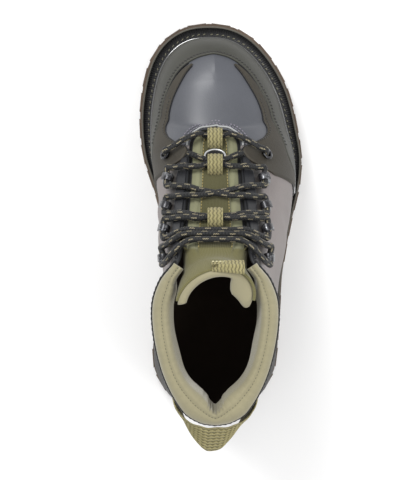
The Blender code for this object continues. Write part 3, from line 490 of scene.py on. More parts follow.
def ribs_at(us):
    """Control points of the ribs at many columns."""
    flat = [rib(round(float(u) % 2.0, 9)) for u in np.ravel(us)]
    return np.array(flat).reshape(np.shape(us) + (4, 3))


def bezier(controls, t):
    """Points at shares t of curves that are given by four control points each."""
    t = np.asarray(t)[..., None]
    s = 1 - t
    a, b, c, d = (controls[..., k, :] for k in range(4))
    return a * s**3 + b * 3 * s**2 * t + c * 3 * s * t**2 + d * t**3


@lru_cache(maxsize=None)
def crest_slopes():
    """How steeply the sides climb to the line over the toes, at places along the boot."""
    bases = np.linspace(0.12, THROAT_FOOT - 0.01, 24)
    reach = 0.01
    behind, ahead = ribs_at(bases + reach)[:, 3], ribs_at(bases - reach)[:, 3]
    climb = (behind - ahead)[:, 2] / (behind - ahead)[:, 1]
    ribs = ribs_at(bases)
    arrive = ribs[:, 3] - ribs[:, 2]
    slopes = (arrive[:, 2] - climb * arrive[:, 1]) / np.abs(arrive[:, 0])
    return ribs[::-1, 3, 1], slopes[::-1]


def crest_drop(us, points):
    """How much the line over the toes, where both sides meet, is rounded off at points."""
    base = bases_of(us)
    places, slopes = crest_slopes()
    slope = np.interp(points[..., 1], places, slopes)
    front = places[-1] + CREST_FRONT
    slope = slope * ease(front, front - CREST_FADE, points[..., 1]) * ease(0.350, THROAT_FOOT, base)
    away = np.abs(points[..., 0] - SHIFT.x)
    return slope * (np.sqrt(away**2 + CREST_ROUNDING**2) - away)


def relief(us, vs):
    """Height of the upper's soft folds: troughs with a ridge on both sides."""
    turned = np.mod(us, 2.0)
    side = np.where(turned <= 1.0, LATERAL, MEDIAL)
    base = 1.0 - np.abs(1.0 - turned)
    height = np.zeros(np.shape(base + vs))
    depth = bpy.context.scene.boot_sizes.fold_depth
    for fold in FOLDS:
        across = (base - fold.base - fold.slant * (vs - fold.row)) / fold.width
        along = (vs - fold.row) / fold.length
        shape = (1.4 * across**2 - 1.0) * np.exp(-(across**2) - along**2)
        height = height + np.where(side == fold.side, fold.depth * depth * shape, 0.0)
    return height


def skin(us, vs, lift=0.0, with_normals=False):
    """Points over the boot's surface at columns us and rows vs, lifted outwards."""
    us, vs = np.broadcast_arrays(np.asarray(us, float), np.asarray(vs, float))
    reach = 0.01
    base = bases_of(us)
    closed = base <= THROAT_FOOT
    rows = np.where(closed, np.minimum(vs, PIPING_ROW), vs)
    here = ribs_at(us)
    low, high = np.clip(rows - reach, 0, 1), np.clip(rows + reach, 0, 1)
    up = bezier(here, high) - bezier(here, low)
    around = bezier(ribs_at(us + reach), rows) - bezier(ribs_at(us - reach), rows)
    normals = unit(np.cross(up, around))
    seam = (closed & (vs > 0.999))[..., None]
    normals = np.where(seam, unit(normals * np.array([0.0, 1.0, 1.0])), normals)
    height = relief(us, vs) + lift
    points = bezier(here, vs)
    points[..., 2] -= crest_drop(us, points)
    points = points + normals * np.asarray(height)[..., None]
    return (points, normals) if with_normals else points


def instep_face(bases, places, reach):
    """The instep without any lift: the tops of both sides' ribs and a bridge between them."""
    lateral, medial = ribs_at(bases), ribs_at(2.0 - bases)
    down = np.clip((np.abs(places) - EDGE_SHARE) / (1 - EDGE_SHARE), 0, 1)
    sides = bezier(np.where((places > 0)[..., None, None], lateral, medial), 1 - down * reach)
    ends = []
    for ribs in (medial, lateral):
        top = ribs[..., 3, :]
        arrive = unit(top - ribs[..., 2, :])
        arrive[..., 2] = np.minimum(arrive[..., 2], STEEPEST_BRIDGE)
        ends.append((top, unit(arrive)))
    width = np.linalg.norm(ends[1][0] - ends[0][0], axis=-1, keepdims=True)
    bridge = np.stack([
        ends[0][0],
        ends[0][0] + ends[0][1] * width * BRIDGE_FULLNESS,
        ends[1][0] + ends[1][1] * width * BRIDGE_FULLNESS,
        ends[1][0],
    ], axis=-2)
    middle = bezier(bridge, np.clip((places / EDGE_SHARE + 1) / 2, 0, 1))
    return np.where((np.abs(places) >= EDGE_SHARE)[..., None], sides, middle)


def instep(bases, places, lift=0.0, reach=0.1):
    """The instep at ribs, from the medial side (-1) over the throat to the lateral side (1)."""
    bases, places, lift, reach = np.broadcast_arrays(
        np.asarray(bases, float), np.asarray(places, float), lift, reach
    )
    near = 0.02
    points = instep_face(bases, places, reach)
    along = instep_face(bases + near, places, reach) - instep_face(bases - near, places, reach)
    right, left = np.minimum(places + near, 1.0), np.maximum(places - near, -1.0)
    across = instep_face(bases, right, reach) - instep_face(bases, left, reach)
    closed = ((bases <= THROAT_FOOT) & (np.abs(places) < 0.62))[..., None]
    level = places * 0.0
    straight = instep_face(bases, level, reach) - instep_face(bases - near, level, reach)
    along = np.where(closed, straight, along)
    across = np.where(closed, np.array([1.0, 0.0, 0.0]), across)
    return points + unit(np.cross(along, across)) * lift[..., None]


def tongue_top(level, s):
    """Outer face of the tongue above the throat, at a level counted in sections of its table."""
    low = int(min(max(level, 0), len(TONGUE_TOP) - 2))
    share = level - low

    def between(column):
        a, b = getattr(TONGUE_TOP[low], column), getattr(TONGUE_TOP[low + 1], column)
        return a + (b - a) * share

    turn = np.asarray(s, float) * pi / 2
    rise = np.cos(turn)
    crest, wing = between("crest"), between("wing")
    top, bottom = between("crest_height"), between("wing_height")
    skew = TONGUE_SKEW * level / (len(TONGUE_TOP) - 1) * rise
    return np.stack([
        between("half") * COLLAR_WIDTH * np.sin(turn) + skew + SHIFT.x,
        (wing + (crest - wing) * rise) * SOLE_LENGTH + SHIFT.y,
        (bottom + (top - bottom) * rise) * COLLAR_HEIGHT,
    ], axis=-1)


def curve_through(points, per_span, closed=False):
    """A smooth line, or sheet of lines, through rows of points."""
    points = np.asarray(points, float)
    count = len(points)
    spans = count if closed else count - 1
    made = []
    for k in range(spans):
        if closed:
            a, b, c, d = (points[(k + j - 1) % count] for j in range(4))
        else:
            a, b, c, d = (points[min(max(k + j - 1, 0), count - 1)] for j in range(4))
        for step in range(per_span):
            t = step / per_span
            made.append(0.5 * (
                2 * b + (c - a) * t + (2 * a - 5 * b + 4 * c - d) * t**2
                + (3 * b - a - 3 * c + d) * t**3
            ))
    if not closed:
        made.append(points[-1])
    return np.array(made)


def evenly(points, pitch):
    """Points of a line at equal steps of about a pitch, with any further columns that it carries."""
    steps = np.linalg.norm(np.diff(points[:, :3], axis=0), axis=1)
    lengths = np.concatenate([[0.0], np.cumsum(steps)])
    count = max(int(round(lengths[-1] / pitch)), 1)
    places = np.linspace(0.0, lengths[-1], count + 1)
    return np.stack([np.interp(places, lengths, points[:, k]) for k in range(points.shape[1])], axis=1)


def face_normals(points, closed_columns=False):
    """Normals of a grid of points, from its own rows and columns."""
    if closed_columns:
        across = np.roll(points, -1, 1) - np.roll(points, 1, 1)
    else:
        across = np.gradient(points, axis=1)
    return unit(np.cross(np.gradient(points, axis=0), across))


def lengths_along(points, axis):
    """Mean lengths along one way of a grid, from its first point to each of the others."""
    steps = np.linalg.norm(np.diff(points, axis=axis), axis=-1)
    total = np.cumsum(steps.mean(axis=1 - axis))
    return np.concatenate([[0.0], total])


def added(name, data):
    """An object in the scene from its mesh, light or camera."""
    made = bpy.data.objects.new(name, data)
    bpy.context.scene.collection.objects.link(made)
    return made


@contextmanager
def reshaped(piece):
    """A piece's mesh, open for changes."""
    form = bmesh.new()
    form.from_mesh(piece.data)
    yield form
    form.to_mesh(piece.data)
    form.free()


def soften(piece, width, segments, angle):
    """Rounds the edges of a piece that bend by more than an angle in degrees."""
    soft = piece.modifiers.new("soft_edges", "BEVEL")
    soft.width = width
    soft.segments = segments
    soft.limit_method = "ANGLE"
    soft.angle_limit = radians(angle)


def grid_piece(name, points, place=None, closed=(False, False), flip=False):
    """A piece from a grid of points. Its map "place" holds the grid's own coordinates, and its map
    "cloth" the lengths along both ways of the grid, in metres."""
    rows, columns = points.shape[:2]
    if place is None:
        place = np.meshgrid(np.linspace(0, 1, rows), np.linspace(0, 1, columns), indexing="ij")
    looped = points
    maps = [np.asarray(m, float) for m in place]
    for axis in (0, 1):
        if closed[axis]:
            first = np.take(looped, [0], axis=axis)
            looped = np.concatenate([looped, first], axis=axis)
            ends = [np.take(m, [-1], axis=axis) + np.diff(np.take(m, [-2, -1], axis=axis), axis=axis)
                    for m in maps]
            maps = [np.concatenate([m, e], axis=axis) for m, e in zip(maps, ends)]
    along = lengths_along(looped, 0)
    across = lengths_along(looped, 1)
    n, m = looped.shape[0] - 1, looped.shape[1] - 1
    i, j = np.meshgrid(np.arange(n), np.arange(m), indexing="ij")
    corner_rows = np.stack([i, i + 1, i + 1, i], axis=-1).reshape(-1, 4)
    corner_columns = np.stack([j, j, j + 1, j + 1], axis=-1).reshape(-1, 4)
    if flip:
        corner_rows, corner_columns = corner_rows[:, ::-1], corner_columns[:, ::-1]
    faces = (corner_rows % rows) * columns + corner_columns % columns
    mesh = bpy.data.meshes.new(name)
    mesh.from_pydata(points.reshape(-1, 3).tolist(), [], faces.tolist())
    values = {
        "place": np.stack([maps[0][corner_rows, corner_columns], maps[1][corner_rows, corner_columns]], -1),
        "cloth": np.stack([along[corner_rows], across[corner_columns]], -1),
    }
    for label, value in values.items():
        mesh.uv_layers.new(name=label).data.foreach_set("uv", value.reshape(-1).astype(np.float32))
    mesh.polygons.foreach_set("use_smooth", [True] * len(mesh.polygons))
    mesh.update()
    return added(name, mesh)


def merged(piece):
    """Closes doubled points, such as where both sides of the vamp meet."""
    with reshaped(piece) as form:
        bmesh.ops.remove_doubles(form, verts=form.verts, dist=0.00002)
    return piece


def thicken(piece, thickness):
    """Gives a sheet its thickness, inwards from its face."""
    wall = piece.modifiers.new("wall", "SOLIDIFY")
    wall.thickness = thickness
    wall.offset = -1.0
    return piece


def close_ends(piece, count):
    """Closes the first and the last ring of a tube, each of so many points."""
    with reshaped(piece) as form:
        form.verts.ensure_lookup_table()
        total = len(form.verts)
        form.faces.new([form.verts[k] for k in range(count)][::-1])
        form.faces.new([form.verts[total - count + k] for k in range(count)])
        bmesh.ops.recalc_face_normals(form, faces=form.faces)


def seat_piece(piece, slot, finish, *nodes):
    """Gives a piece its finish and the boot to ride on, and hides the solids it stands for. The slot is not
    used.
    """
    piece.data.materials.clear()
    piece.data.materials.append(finish)
    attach(piece, BODY)
    if nodes:
        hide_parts(*nodes)
    return piece


def joined(name, parts):
    """One piece from meshes given as vertices and faces."""
    verts, faces, start = [], [], 0
    for points, quads in parts:
        verts.append(points)
        faces += [[start + k for k in face] for face in quads]
        start += len(points)
    mesh = bpy.data.meshes.new(name)
    mesh.from_pydata(np.concatenate(verts).tolist(), [], faces)
    mesh.polygons.foreach_set("use_smooth", [True] * len(mesh.polygons))
    mesh.update()
    return added(name, mesh)


def sewn(name, parts, slot, thread_name, colour):
    """One piece of all stitches of a kind, in thread of a colour."""
    seat_piece(joined(name, parts), slot, thread(thread_name, colour))


def tube_points(line, radius, sides, flatten=1.0):
    """Rings of a cord along a line, without twist."""
    ahead = unit(np.gradient(line, axis=0))
    side = np.zeros_like(line)
    side[0] = unit(np.cross(ahead[0], (0.0, 0.0, 1.0)))
    for k in range(1, len(line)):
        carried = side[k - 1] - ahead[k] * np.dot(side[k - 1], ahead[k])
        side[k] = carried / np.linalg.norm(carried)
    over = np.cross(side, ahead)
    turn = np.linspace(0, 2 * pi, sides, endpoint=False)[None, :, None]
    rings = side[:, None] * np.cos(turn) + over[:, None] * np.sin(turn) * flatten
    return line[:, None] + rings * radius


def rounded_ends(rings, line, radius):
    """Closes a tube with a short dome at both ends."""
    first, last = unit(line[0] - line[1]), unit(line[-1] - line[-2])
    domes = [(0.72, 0.68), (0.98, 0.12)]
    head = [line[0] + (rings[0] - line[0]) * size + first * radius * out
            for out, size in reversed(domes)]
    tail = [line[-1] + (rings[-1] - line[-1]) * size + last * radius * out for out, size in domes]
    return np.concatenate([np.array(head), rings, np.array(tail)])


def cord_piece(name, line, radius, sides=10):
    rings = rounded_ends(tube_points(line, radius, sides), line, radius)
    return grid_piece(name, rings, closed=(False, True), flip=True)


# Rings of one stitch. along: share of its length. size and height: shares of its width.
STITCH_RINGS = (
    (-0.5, 0.15, -0.5),
    (-0.38, 0.75, 0.3),
    (0.0, 1.0, 0.55),
    (0.38, 0.75, 0.3),
    (0.5, 0.15, -0.5),
)


def stitch_meshes(line, normals, pitch, length, width, skew=0.0):
    """Short raised threads at equal steps along a line, each a small domed bar."""
    both = evenly(np.concatenate([line, normals], axis=1), pitch)
    middle = (both[1:] + both[:-1]) / 2
    centre, normal = middle[:, :3], unit(middle[:, 3:])
    ahead = unit(both[1:, :3] - both[:-1, :3])
    side = unit(np.cross(normal, ahead))
    ahead = unit(ahead + side * skew)
    side = unit(np.cross(normal, ahead))
    corners = 6
    template = []
    for along, size, height in STITCH_RINGS:
        for k in range(corners):
            turn = 2 * pi * k / corners
            template.append((along * length, cos(turn) * size * width / 2,
                             (sin(turn) * size * 0.5 + height * 0.5) * width))
    template = np.array(template)
    points = (
        centre[:, None]
        + ahead[:, None] * template[None, :, 0, None]
        + side[:, None] * template[None, :, 1, None]
        + normal[:, None] * template[None, :, 2, None]
    )
    rings = len(STITCH_RINGS)
    faces = [
        [r * corners + k, r * corners + (k + 1) % corners,
         (r + 1) * corners + (k + 1) % corners, (r + 1) * corners + k]
        for r in range(rings - 1) for k in range(corners)
    ]
    faces += [list(range(corners))[::-1], [(rings - 1) * corners + k for k in range(corners)]]
    return [(block, faces) for block in points]


def skin_row(places, rows, lift):
    """A line over the upper with its normals, for stitches and piping."""
    return skin(np.asarray(places), np.asarray(rows), lift, with_normals=True)


# Sockets of the node that mixes colours: its inputs, and its output for colours.
MIX_FACTOR, MIX_FIRST, MIX_SECOND = 0, 6, 7
MIX_COLOUR = 2


class Wire:
    """An output of a shader node, with arithmetic on it."""

    def __init__(self, finish, socket):
        self.finish = finish
        self.socket = socket

    def maths(self, operation, *values):
        return self.finish.node("ShaderNodeMath", {"operation": operation}, dict(enumerate(values)))

    def __add__(self, other):
        return self.maths("ADD", self, other)

    def __radd__(self, other):
        return self.maths("ADD", other, self)

    def __sub__(self, other):
        return self.maths("SUBTRACT", self, other)

    def __rsub__(self, other):
        return self.maths("SUBTRACT", other, self)

    def __mul__(self, other):
        return self.maths("MULTIPLY", self, other)

    def __rmul__(self, other):
        return self.maths("MULTIPLY", other, self)

    def __truediv__(self, other):
        return self.maths("DIVIDE", self, other)

    def above(self, low, high):
        """Goes smoothly from 0 to 1 between two values."""
        return self.finish.node(
            "ShaderNodeMapRange",
            {"interpolation_type": "SMOOTHSTEP"},
            {"Value": self, "From Min": low, "From Max": high},
        )


class Finish:
    """A material with a Principled shader, and the nodes that feed it."""

    def __init__(self, name, roughness=0.6, metallic=0.0, **constants):
        self.material = bpy.data.materials.new(name)
        self.material.use_nodes = True
        self.tree = self.material.node_tree
        self.shader = self.tree.nodes["Principled BSDF"]
        self.shader.inputs["Roughness"].default_value = roughness
        self.shader.inputs["Metallic"].default_value = metallic
        for socket, value in constants.items():
            self.shader.inputs[socket.replace("_", " ")].default_value = value

    def node(self, kind, settings=(), inputs=(), output=0):
        made = self.tree.nodes.new(kind)
        for setting, value in dict(settings).items():
            setattr(made, setting, value)
        for socket, value in dict(inputs).items():
            if isinstance(value, Wire):
                self.tree.links.new(value.socket, made.inputs[socket])
            else:
                made.inputs[socket].default_value = value
        return Wire(self, made.outputs[output])

    def feed(self, socket, wire):
        self.tree.links.new(wire.socket, self.shader.inputs[socket])

    def mix(self, factor, first, second):
        """Mixes two colours, each a colour wire or a colour."""
        inputs = {MIX_FACTOR: factor}
        for socket, colour in ((MIX_FIRST, first), (MIX_SECOND, second)):
            inputs[socket] = colour if isinstance(colour, Wire) else (*tuple(colour)[:3], 1.0)
        return self.node("ShaderNodeMix", {"data_type": "RGBA"}, inputs, output=MIX_COLOUR)

    def tones(self, factor, colour, dark, pale):
        """Mixes a darker and a paler shade of one colour."""
        return self.mix(factor, shade(colour, dark), shade(colour, pale))

    def done(self, colour, roughness, normal):
        """The material, with its colour, roughness and relief fed in."""
        self.feed("Base Color", colour)
        self.feed("Roughness", roughness)
        self.feed("Normal", normal)
        return self.material

    def where(self):
        return self.node("ShaderNodeTexCoord", output="Object")

    def map(self, label):
        """Both coordinates of one of the piece's maps."""
        spot = self.node("ShaderNodeUVMap", {"uv_map": label})
        return [self.node("ShaderNodeSeparateXYZ", (), {0: spot}, output=k) for k in (0, 1)]

    def noise(self, scale, detail=3.0, roughness=0.5):
        inputs = {"Vector": self.where(), "Scale": scale, "Detail": detail, "Roughness": roughness}
        return self.node("ShaderNodeTexNoise", (), inputs)

    def cells(self, scale):
        """Rounded cells, so many to the metre."""
        inputs = {"Vector": self.where(), "Scale": scale}
        return self.node("ShaderNodeTexVoronoi", {"feature": "SMOOTH_F1"}, inputs)

    def wave(self, phase):
        """Sine of a wire, from 0 to 1."""
        return phase.maths("SINE", phase) * 0.5 + 0.5

    def bump(self, height, distance, strength=1.0, under=None):
        inputs = {"Height": height, "Distance": distance, "Strength": strength}
        if under is not None:
            inputs["Normal"] = under
        return self.node("ShaderNodeBump", (), inputs)


def paint(code):
    """A colour written as six hexadecimal digits, in linear light."""
    parts = [int(code[k:k + 2], 16) / 255 for k in (0, 2, 4)]
    return tuple(p / 12.92 if p <= 0.04045 else ((p + 0.055) / 1.055) ** 2.4 for p in parts)


def shade(colour, amount):
    return tuple(min(c * amount, 1.0) for c in tuple(colour)[:3])


def leather(name, colour, grain=0.0011, roughness=0.55, depth=0.00012, speckle=0.0, coat=0.0, edges=0.0):
    """Leather with pebbled grain, soft tone changes and, on a band, paler edges painted as a highlight
    where its rolled edges catch the light.
    """
    made = Finish(name, roughness, Coat_Weight=coat, Coat_Roughness=0.35, Specular_IOR_Level=0.42)
    clouds = made.noise(28.0, 4.0)
    nap = made.noise(420.0, 3.0, roughness=0.65)
    tone = made.tones(clouds.above(0.35, 0.68), colour, 0.88, 1.12)
    tone = made.mix(nap.above(0.38, 0.66) * 0.35, tone, shade(colour, 1.28))
    if speckle:
        dots = made.noise(1500.0, 2.0, roughness=0.8)
        tone = made.mix(dots.above(0.58, 0.70) * speckle, tone, shade(colour, 1.9))
        tone = made.mix(dots.above(0.42, 0.32) * speckle, tone, shade(colour, 0.45))
    # Painted highlight: both edges of a band are painted paler, as if their roll caught the light.
    if edges:
        across = made.map("place")[1]
        rim = across.above(0.955, 0.985) + across.above(0.045, 0.015)
        tone = made.mix(rim * edges, tone, shade(colour, 1.75))
    pebbles = made.bump(made.cells(1.0 / grain), depth)
    pores = made.bump(made.noise(2200.0, 2.0), depth * 0.5, under=pebbles)
    return made.done(tone, clouds * 0.14 + nap * 0.10 + (roughness - 0.12), pores)


def quarter_leather(tint):
    """The upper's main skin: one leather, slate over the vamp in front and painted paler and warmer on the
    quarters behind, for the light that falls on them; dark along the topline, and painted shade along the
    throat's edges.
    """
    made = Finish("quarter_leather", 0.5, Coat_Roughness=0.30, Specular_IOR_Level=0.40)
    column, row = made.map("place")
    base = 1.0 - (1.0 - column).maths("ABSOLUTE", 1.0 - column)
    clouds = made.noise(22.0, 4.0)
    nap = made.noise(380.0, 3.0, roughness=0.6)
    vamp, quarter, black = tint.vamp, tint.quarter, tint.binding
    slate = made.tones(clouds.above(0.3, 0.7), vamp, 0.93, 1.09)
    slate = made.mix(nap.above(0.4, 0.7) * 0.22, slate, shade(vamp, 1.22))
    # Painted light: the quarters are the vamp's leather, painted paler and warmer where more light falls on
    # them.
    lit_mauve = made.tones(clouds.above(0.3, 0.7), quarter, 0.90, 1.08)
    lit_mauve = made.mix(nap.above(0.4, 0.68) * 0.35, lit_mauve, shade(quarter, 1.2))
    tone = made.mix(base.above(0.398, 0.402), slate, lit_mauve)
    dark = base.above(0.598, 0.606) * row.above(0.962, 0.966)
    # Painted shade: along the throat, the quarters' edges and inner walls beside the tongue are painted
    # near-black where shade falls.
    throat = base.above(0.404, 0.410) * base.above(0.612, 0.606) * row.above(0.925, 0.935)
    dark = dark.maths("MAXIMUM", dark, throat)
    stay = base.above(0.404, 0.412) * base.above(0.618, 0.606) * row.above(0.800, 0.850)
    tone = made.mix(stay * 0.85, tone, tint.stay)
    # Binding black along the topline, and painted shade along the throat.
    tone = made.mix(dark, tone, shade(black, 1.3))
    made.feed("Coat Weight", base.above(0.402, 0.398) * 0.45)
    grain = made.bump(made.cells(950.0), 0.00010)
    dents = made.bump(made.noise(60.0, 3.0), 0.0004, 0.6, under=grain)
    return made.done(tone, clouds * 0.12 + nap * 0.10 + 0.42, dents)


def rubber(name, colour, dust, roughness=0.78):
    """Moulded rubber with a fine stipple and pale dust in patches."""
    made = Finish(name, roughness, Specular_IOR_Level=0.35)
    patches = made.noise(35.0, 5.0, roughness=0.65)
    stipple = made.noise(1300.0, 2.0)
    tone = made.tones(patches.above(0.30, 0.72), colour, 0.80, 1.16)
    tone = made.mix(patches.above(0.55, 0.80) * 0.3, tone, dust)
    tone = made.mix(stipple.above(0.55, 0.75) * 0.25, tone, shade(colour, 1.5))
    return made.done(tone, patches * 0.16 + (roughness - 0.08), made.bump(stipple, 0.00012))


def weave(name, colour, pitch=0.0009, depth=0.00016, roughness=0.9, contrast=0.3, blotch=0.10, fuzz=0.25):
    """Plain-woven cloth: over-and-under threads along the piece's cloth map."""
    made = Finish(name, roughness, Sheen_Weight=fuzz, Sheen_Roughness=0.5, Specular_IOR_Level=0.25)
    warp, weft = made.map("cloth")
    turn = 2 * pi / pitch
    over = made.wave(warp * turn) * made.wave(weft * turn)
    under = made.wave(warp * turn + pi) * made.wave(weft * turn + pi)
    threads = over.maths("MAXIMUM", over, under)
    clouds = made.noise(40.0, 4.0)
    tone = made.mix(threads, shade(colour, 1.0 - contrast), shade(colour, 1.0 + contrast * 0.6))
    tone = made.mix(clouds.above(0.35, 0.70) * blotch, tone, shade(colour, 0.55))
    fibres = made.bump(made.noise(3000.0, 2.0), depth * 0.5)
    return made.done(tone, threads * -0.08 + (roughness + 0.02), made.bump(threads, depth, under=fibres))


def webbing_weave(name, colour):
    """Heavy narrow webbing: wavy ribs along its length, of slanted threads. The piece's place map
    counts the ribs across it."""
    made = Finish(name, 0.85, Sheen_Weight=0.1, Specular_IOR_Level=0.3)
    warp = made.map("cloth")[0]
    count = made.map("place")[1]
    sway = (made.wave(warp * (2 * pi / 0.0038)) - 0.5) * 0.34
    ribs = made.wave((count + sway) * (2 * pi))
    slant = count.maths("PINGPONG", count, 0.5) * 0.0022
    threads = made.wave((warp + slant) * (2 * pi / 0.0011))
    clouds = made.noise(150.0, 3.0)
    tone = made.tones(ribs.above(0.02, 0.50), colour, 0.42, 1.10)
    tone = made.mix((1.0 - threads) * 0.35, tone, shade(colour, 0.45))
    tone = made.mix(clouds.above(0.4, 0.7) * 0.30, tone, shade(colour, 0.75))
    under = made.bump(threads, 0.00022)
    return made.done(tone, ribs * -0.1 + 0.92, made.bump(ribs, 0.0005, under=under))


def lace_braid(name, black, fleck):
    """Round braid: black yarns with groups of slanted pale tracer stitches in two lines."""
    made = Finish(name, 0.62, Sheen_Weight=0.05, Specular_IOR_Level=0.4)
    along = made.map("cloth")[0]
    around = made.map("place")[1]
    yarn = 2 * pi / 0.0022
    left = made.wave(along * yarn + around * (2 * pi * 3))
    right = made.wave(along * yarn - around * (2 * pi * 3))
    braid = left.maths("MAXIMUM", left, right)
    tone = made.tones(braid.above(0.2, 0.9), black, 0.4, 2.2)
    period = 0.0112
    lines = ((0.00, 0.08), (0.50, 0.25), (0.20, 0.42), (0.70, 0.58), (0.35, 0.75), (0.85, 0.92))
    for start, middle in lines:
        place = along / period + start
        place = place.maths("FRACT", place)
        group = place.above(0.03, 0.05) * place.above(0.40, 0.38)
        offset = around - middle
        band = offset.maths("ABSOLUTE", offset).above(0.040, 0.030)
        dashes = made.wave((along + offset * 0.014) * (2 * pi / 0.00115)).above(0.52, 0.64)
        tone = made.mix(group * band * dashes, tone, fleck)
    return made.done(tone, braid * -0.12 + 0.72, made.bump(braid, 0.00035))


def enamel(name, dark, pale):
    """Dark enamelled metal, rubbed bright in places."""
    made = Finish(name, 0.32, 0.85, Coat_Weight=0.3)
    patches = made.noise(260.0, 4.0, roughness=0.7)
    scratches = made.noise(900.0, 2.0)
    worn = patches.above(0.52, 0.66)
    made.feed("Metallic", worn * 0.35 + 0.6)
    tone = made.mix(worn, dark, pale)
    return made.done(tone, scratches * 0.25 + 0.18, made.bump(patches, 0.00012, 0.7))


def thread(name, colour):
    """Sewing thread, twisted from two plies."""
    made = Finish(name, 0.7, Sheen_Weight=0.2)
    plies = made.noise(2600.0, 1.0)
    made.feed("Base Color", made.tones(plies.above(0.4, 0.6), colour, 0.75, 1.2))
    made.feed("Normal", made.bump(plies, 0.00006))
    return made.material


def colour_property(label, code, what):
    return FloatVectorProperty(
        name=label, description=what, default=paint(code), subtype="COLOR", size=3, min=0.0, max=1.0
    )


class BootColours(PropertyGroup):
    outsole: colour_property("Outsole", "594c41", "Lugged rubber under the boot")
    dust: colour_property("Dust", "7a7064", "Dry dust on rubber")
    midsole: colour_property("Midsole", "2b2723", "Moulded layer over the outsole")
    welt: colour_property("Welt", "0e0e10", "Black strip with the sole stitching")
    lip: colour_property("Welt lip", "4c4940", "Pale outer lip of the welt")
    rand: colour_property("Rand", "33332d", "Toe rand")
    overlay: colour_property("Overlay", "322e26", "Side overlays and heel counter")
    vamp: colour_property("Vamp", "44464c", "Smooth panel over the toes")
    # Painted light: this is the vamp's leather, made paler and warmer for the light on the boot's sides.
    quarter: colour_property("Quarter", "736c6a", "Sides of the boot")
    stay: colour_property("Eyestay", "262422", "Dark leather round the hooks")
    binding: colour_property("Binding", "121316", "Black edge and piping")
    lining: colour_property("Lining", "8c866b", "Padded collar lining")
    tongue: colour_property("Tongue", "504d2f", "Middle panel of the tongue")
    gusset: colour_property("Gusset", "838366", "Folds beside the tongue's middle panel")
    tongue_band: colour_property("Tongue band", "686440", "Face of the tongue over the laces")
    webbing: colour_property("Webbing", "989066", "Keepers, pull tab and heel loop")
    lace: colour_property("Lace", "0b0c0d", "Round lace")
    fleck: colour_property("Flecks", "a3987a", "Tracer yarn in the lace")
    metal: colour_property("Metal", "26262a", "Enamelled hooks")
    bright: colour_property("Bright metal", "85878a", "Rubbed metal")
    # The dark lining inside the boot, painted darker still for the shade that fills it.
    inside: colour_property("Inside", "3d322b", "Insole and inner wall")
    throat_piping: colour_property("Throat piping", "a9abab", "Pale cord round the foot of the throat")
    pocket_cord: colour_property("Pocket cord", "dddee0", "Silver cord round the lace pocket")
    sole_thread: colour_property("Sole thread", "6f6c58", "Stitches of the welt")
    dark_thread: colour_property("Dark thread", "1b1a18", "Stitches of rand, overlays and counter")
    throat_thread: colour_property("Throat thread", "7c7884", "Double row in front of the throat")
    lining_thread: colour_property("Lining thread", "4b4a38", "Seam of the collar lining")
    tongue_thread: colour_property("Tongue thread", "9a8a50", "Stitches of the tongue's middle panel")
    pull_thread: colour_property("Pull thread", "c9c39c", "Stitches of the pull tab")


def length_property(label, metres, what):
    return FloatProperty(name=label, description=what, default=metres, unit="LENGTH")


class BootSizes(PropertyGroup):
    lace_radius: length_property("Lace radius", 0.0023, "Half the lace's thickness")
    panel_thickness: length_property("Overlay thickness", 0.0012, "Thickness of rand and overlays")
    stitch_pitch: length_property("Stitch pitch", 0.0026, "Length of one stitch with its gap")
    thread_width: length_property("Thread width", 0.0008, "Thickness of the sewing thread")
    camera_height: length_property("Camera height", 1.5, "Height of the camera over the floor")
    fold_depth: FloatProperty(
        name="Fold depth", description="Share of the folds' depth", default=1.0, subtype="FACTOR"
    )


def sizes():
    return bpy.context.scene.boot_sizes


def colours():
    return bpy.context.scene.boot_colours


def solid_copy(name, node, bevel):
    """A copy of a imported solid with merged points, flat faces joined and softened edges."""
    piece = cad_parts[node].copy()
    piece.data = piece.data.copy()
    piece.name = name
    for key in [key for key in piece.keys() if key.startswith("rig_")]:
        del piece[key]
    piece.parent = None
    bpy.context.scene.collection.objects.link(piece)
    with reshaped(piece) as form:
        bmesh.ops.remove_doubles(form, verts=form.verts, dist=0.00001)
        bmesh.ops.dissolve_limit(form, angle_limit=radians(2), verts=form.verts, edges=form.edges)
    soften(piece, bevel, segments=2, angle=32)
    piece.data.shade_smooth()
    piece.data.set_sharp_from_angle(angle=radians(40))
    return piece


def sole_ring(section):
    """A closed strip round the whole sole. section: pairs of inset and height functions."""
    us = np.linspace(0.0, 2.0, 2 * SOLE_COLUMNS, endpoint=False)
    points = np.empty((len(us), len(section), 3))
    for i, u in enumerate(us):
        side, base = split(u)
        for j, (inset, height) in enumerate(section):
            spot = edge(side, base, inset(base))
            points[i, j] = (spot.x + SHIFT.x, spot.y + SHIFT.y, height(spot.y))
    across = np.linspace(0.0, 1.0, len(section))
    place = np.meshgrid(us, across, indexing="ij")
    return points, place


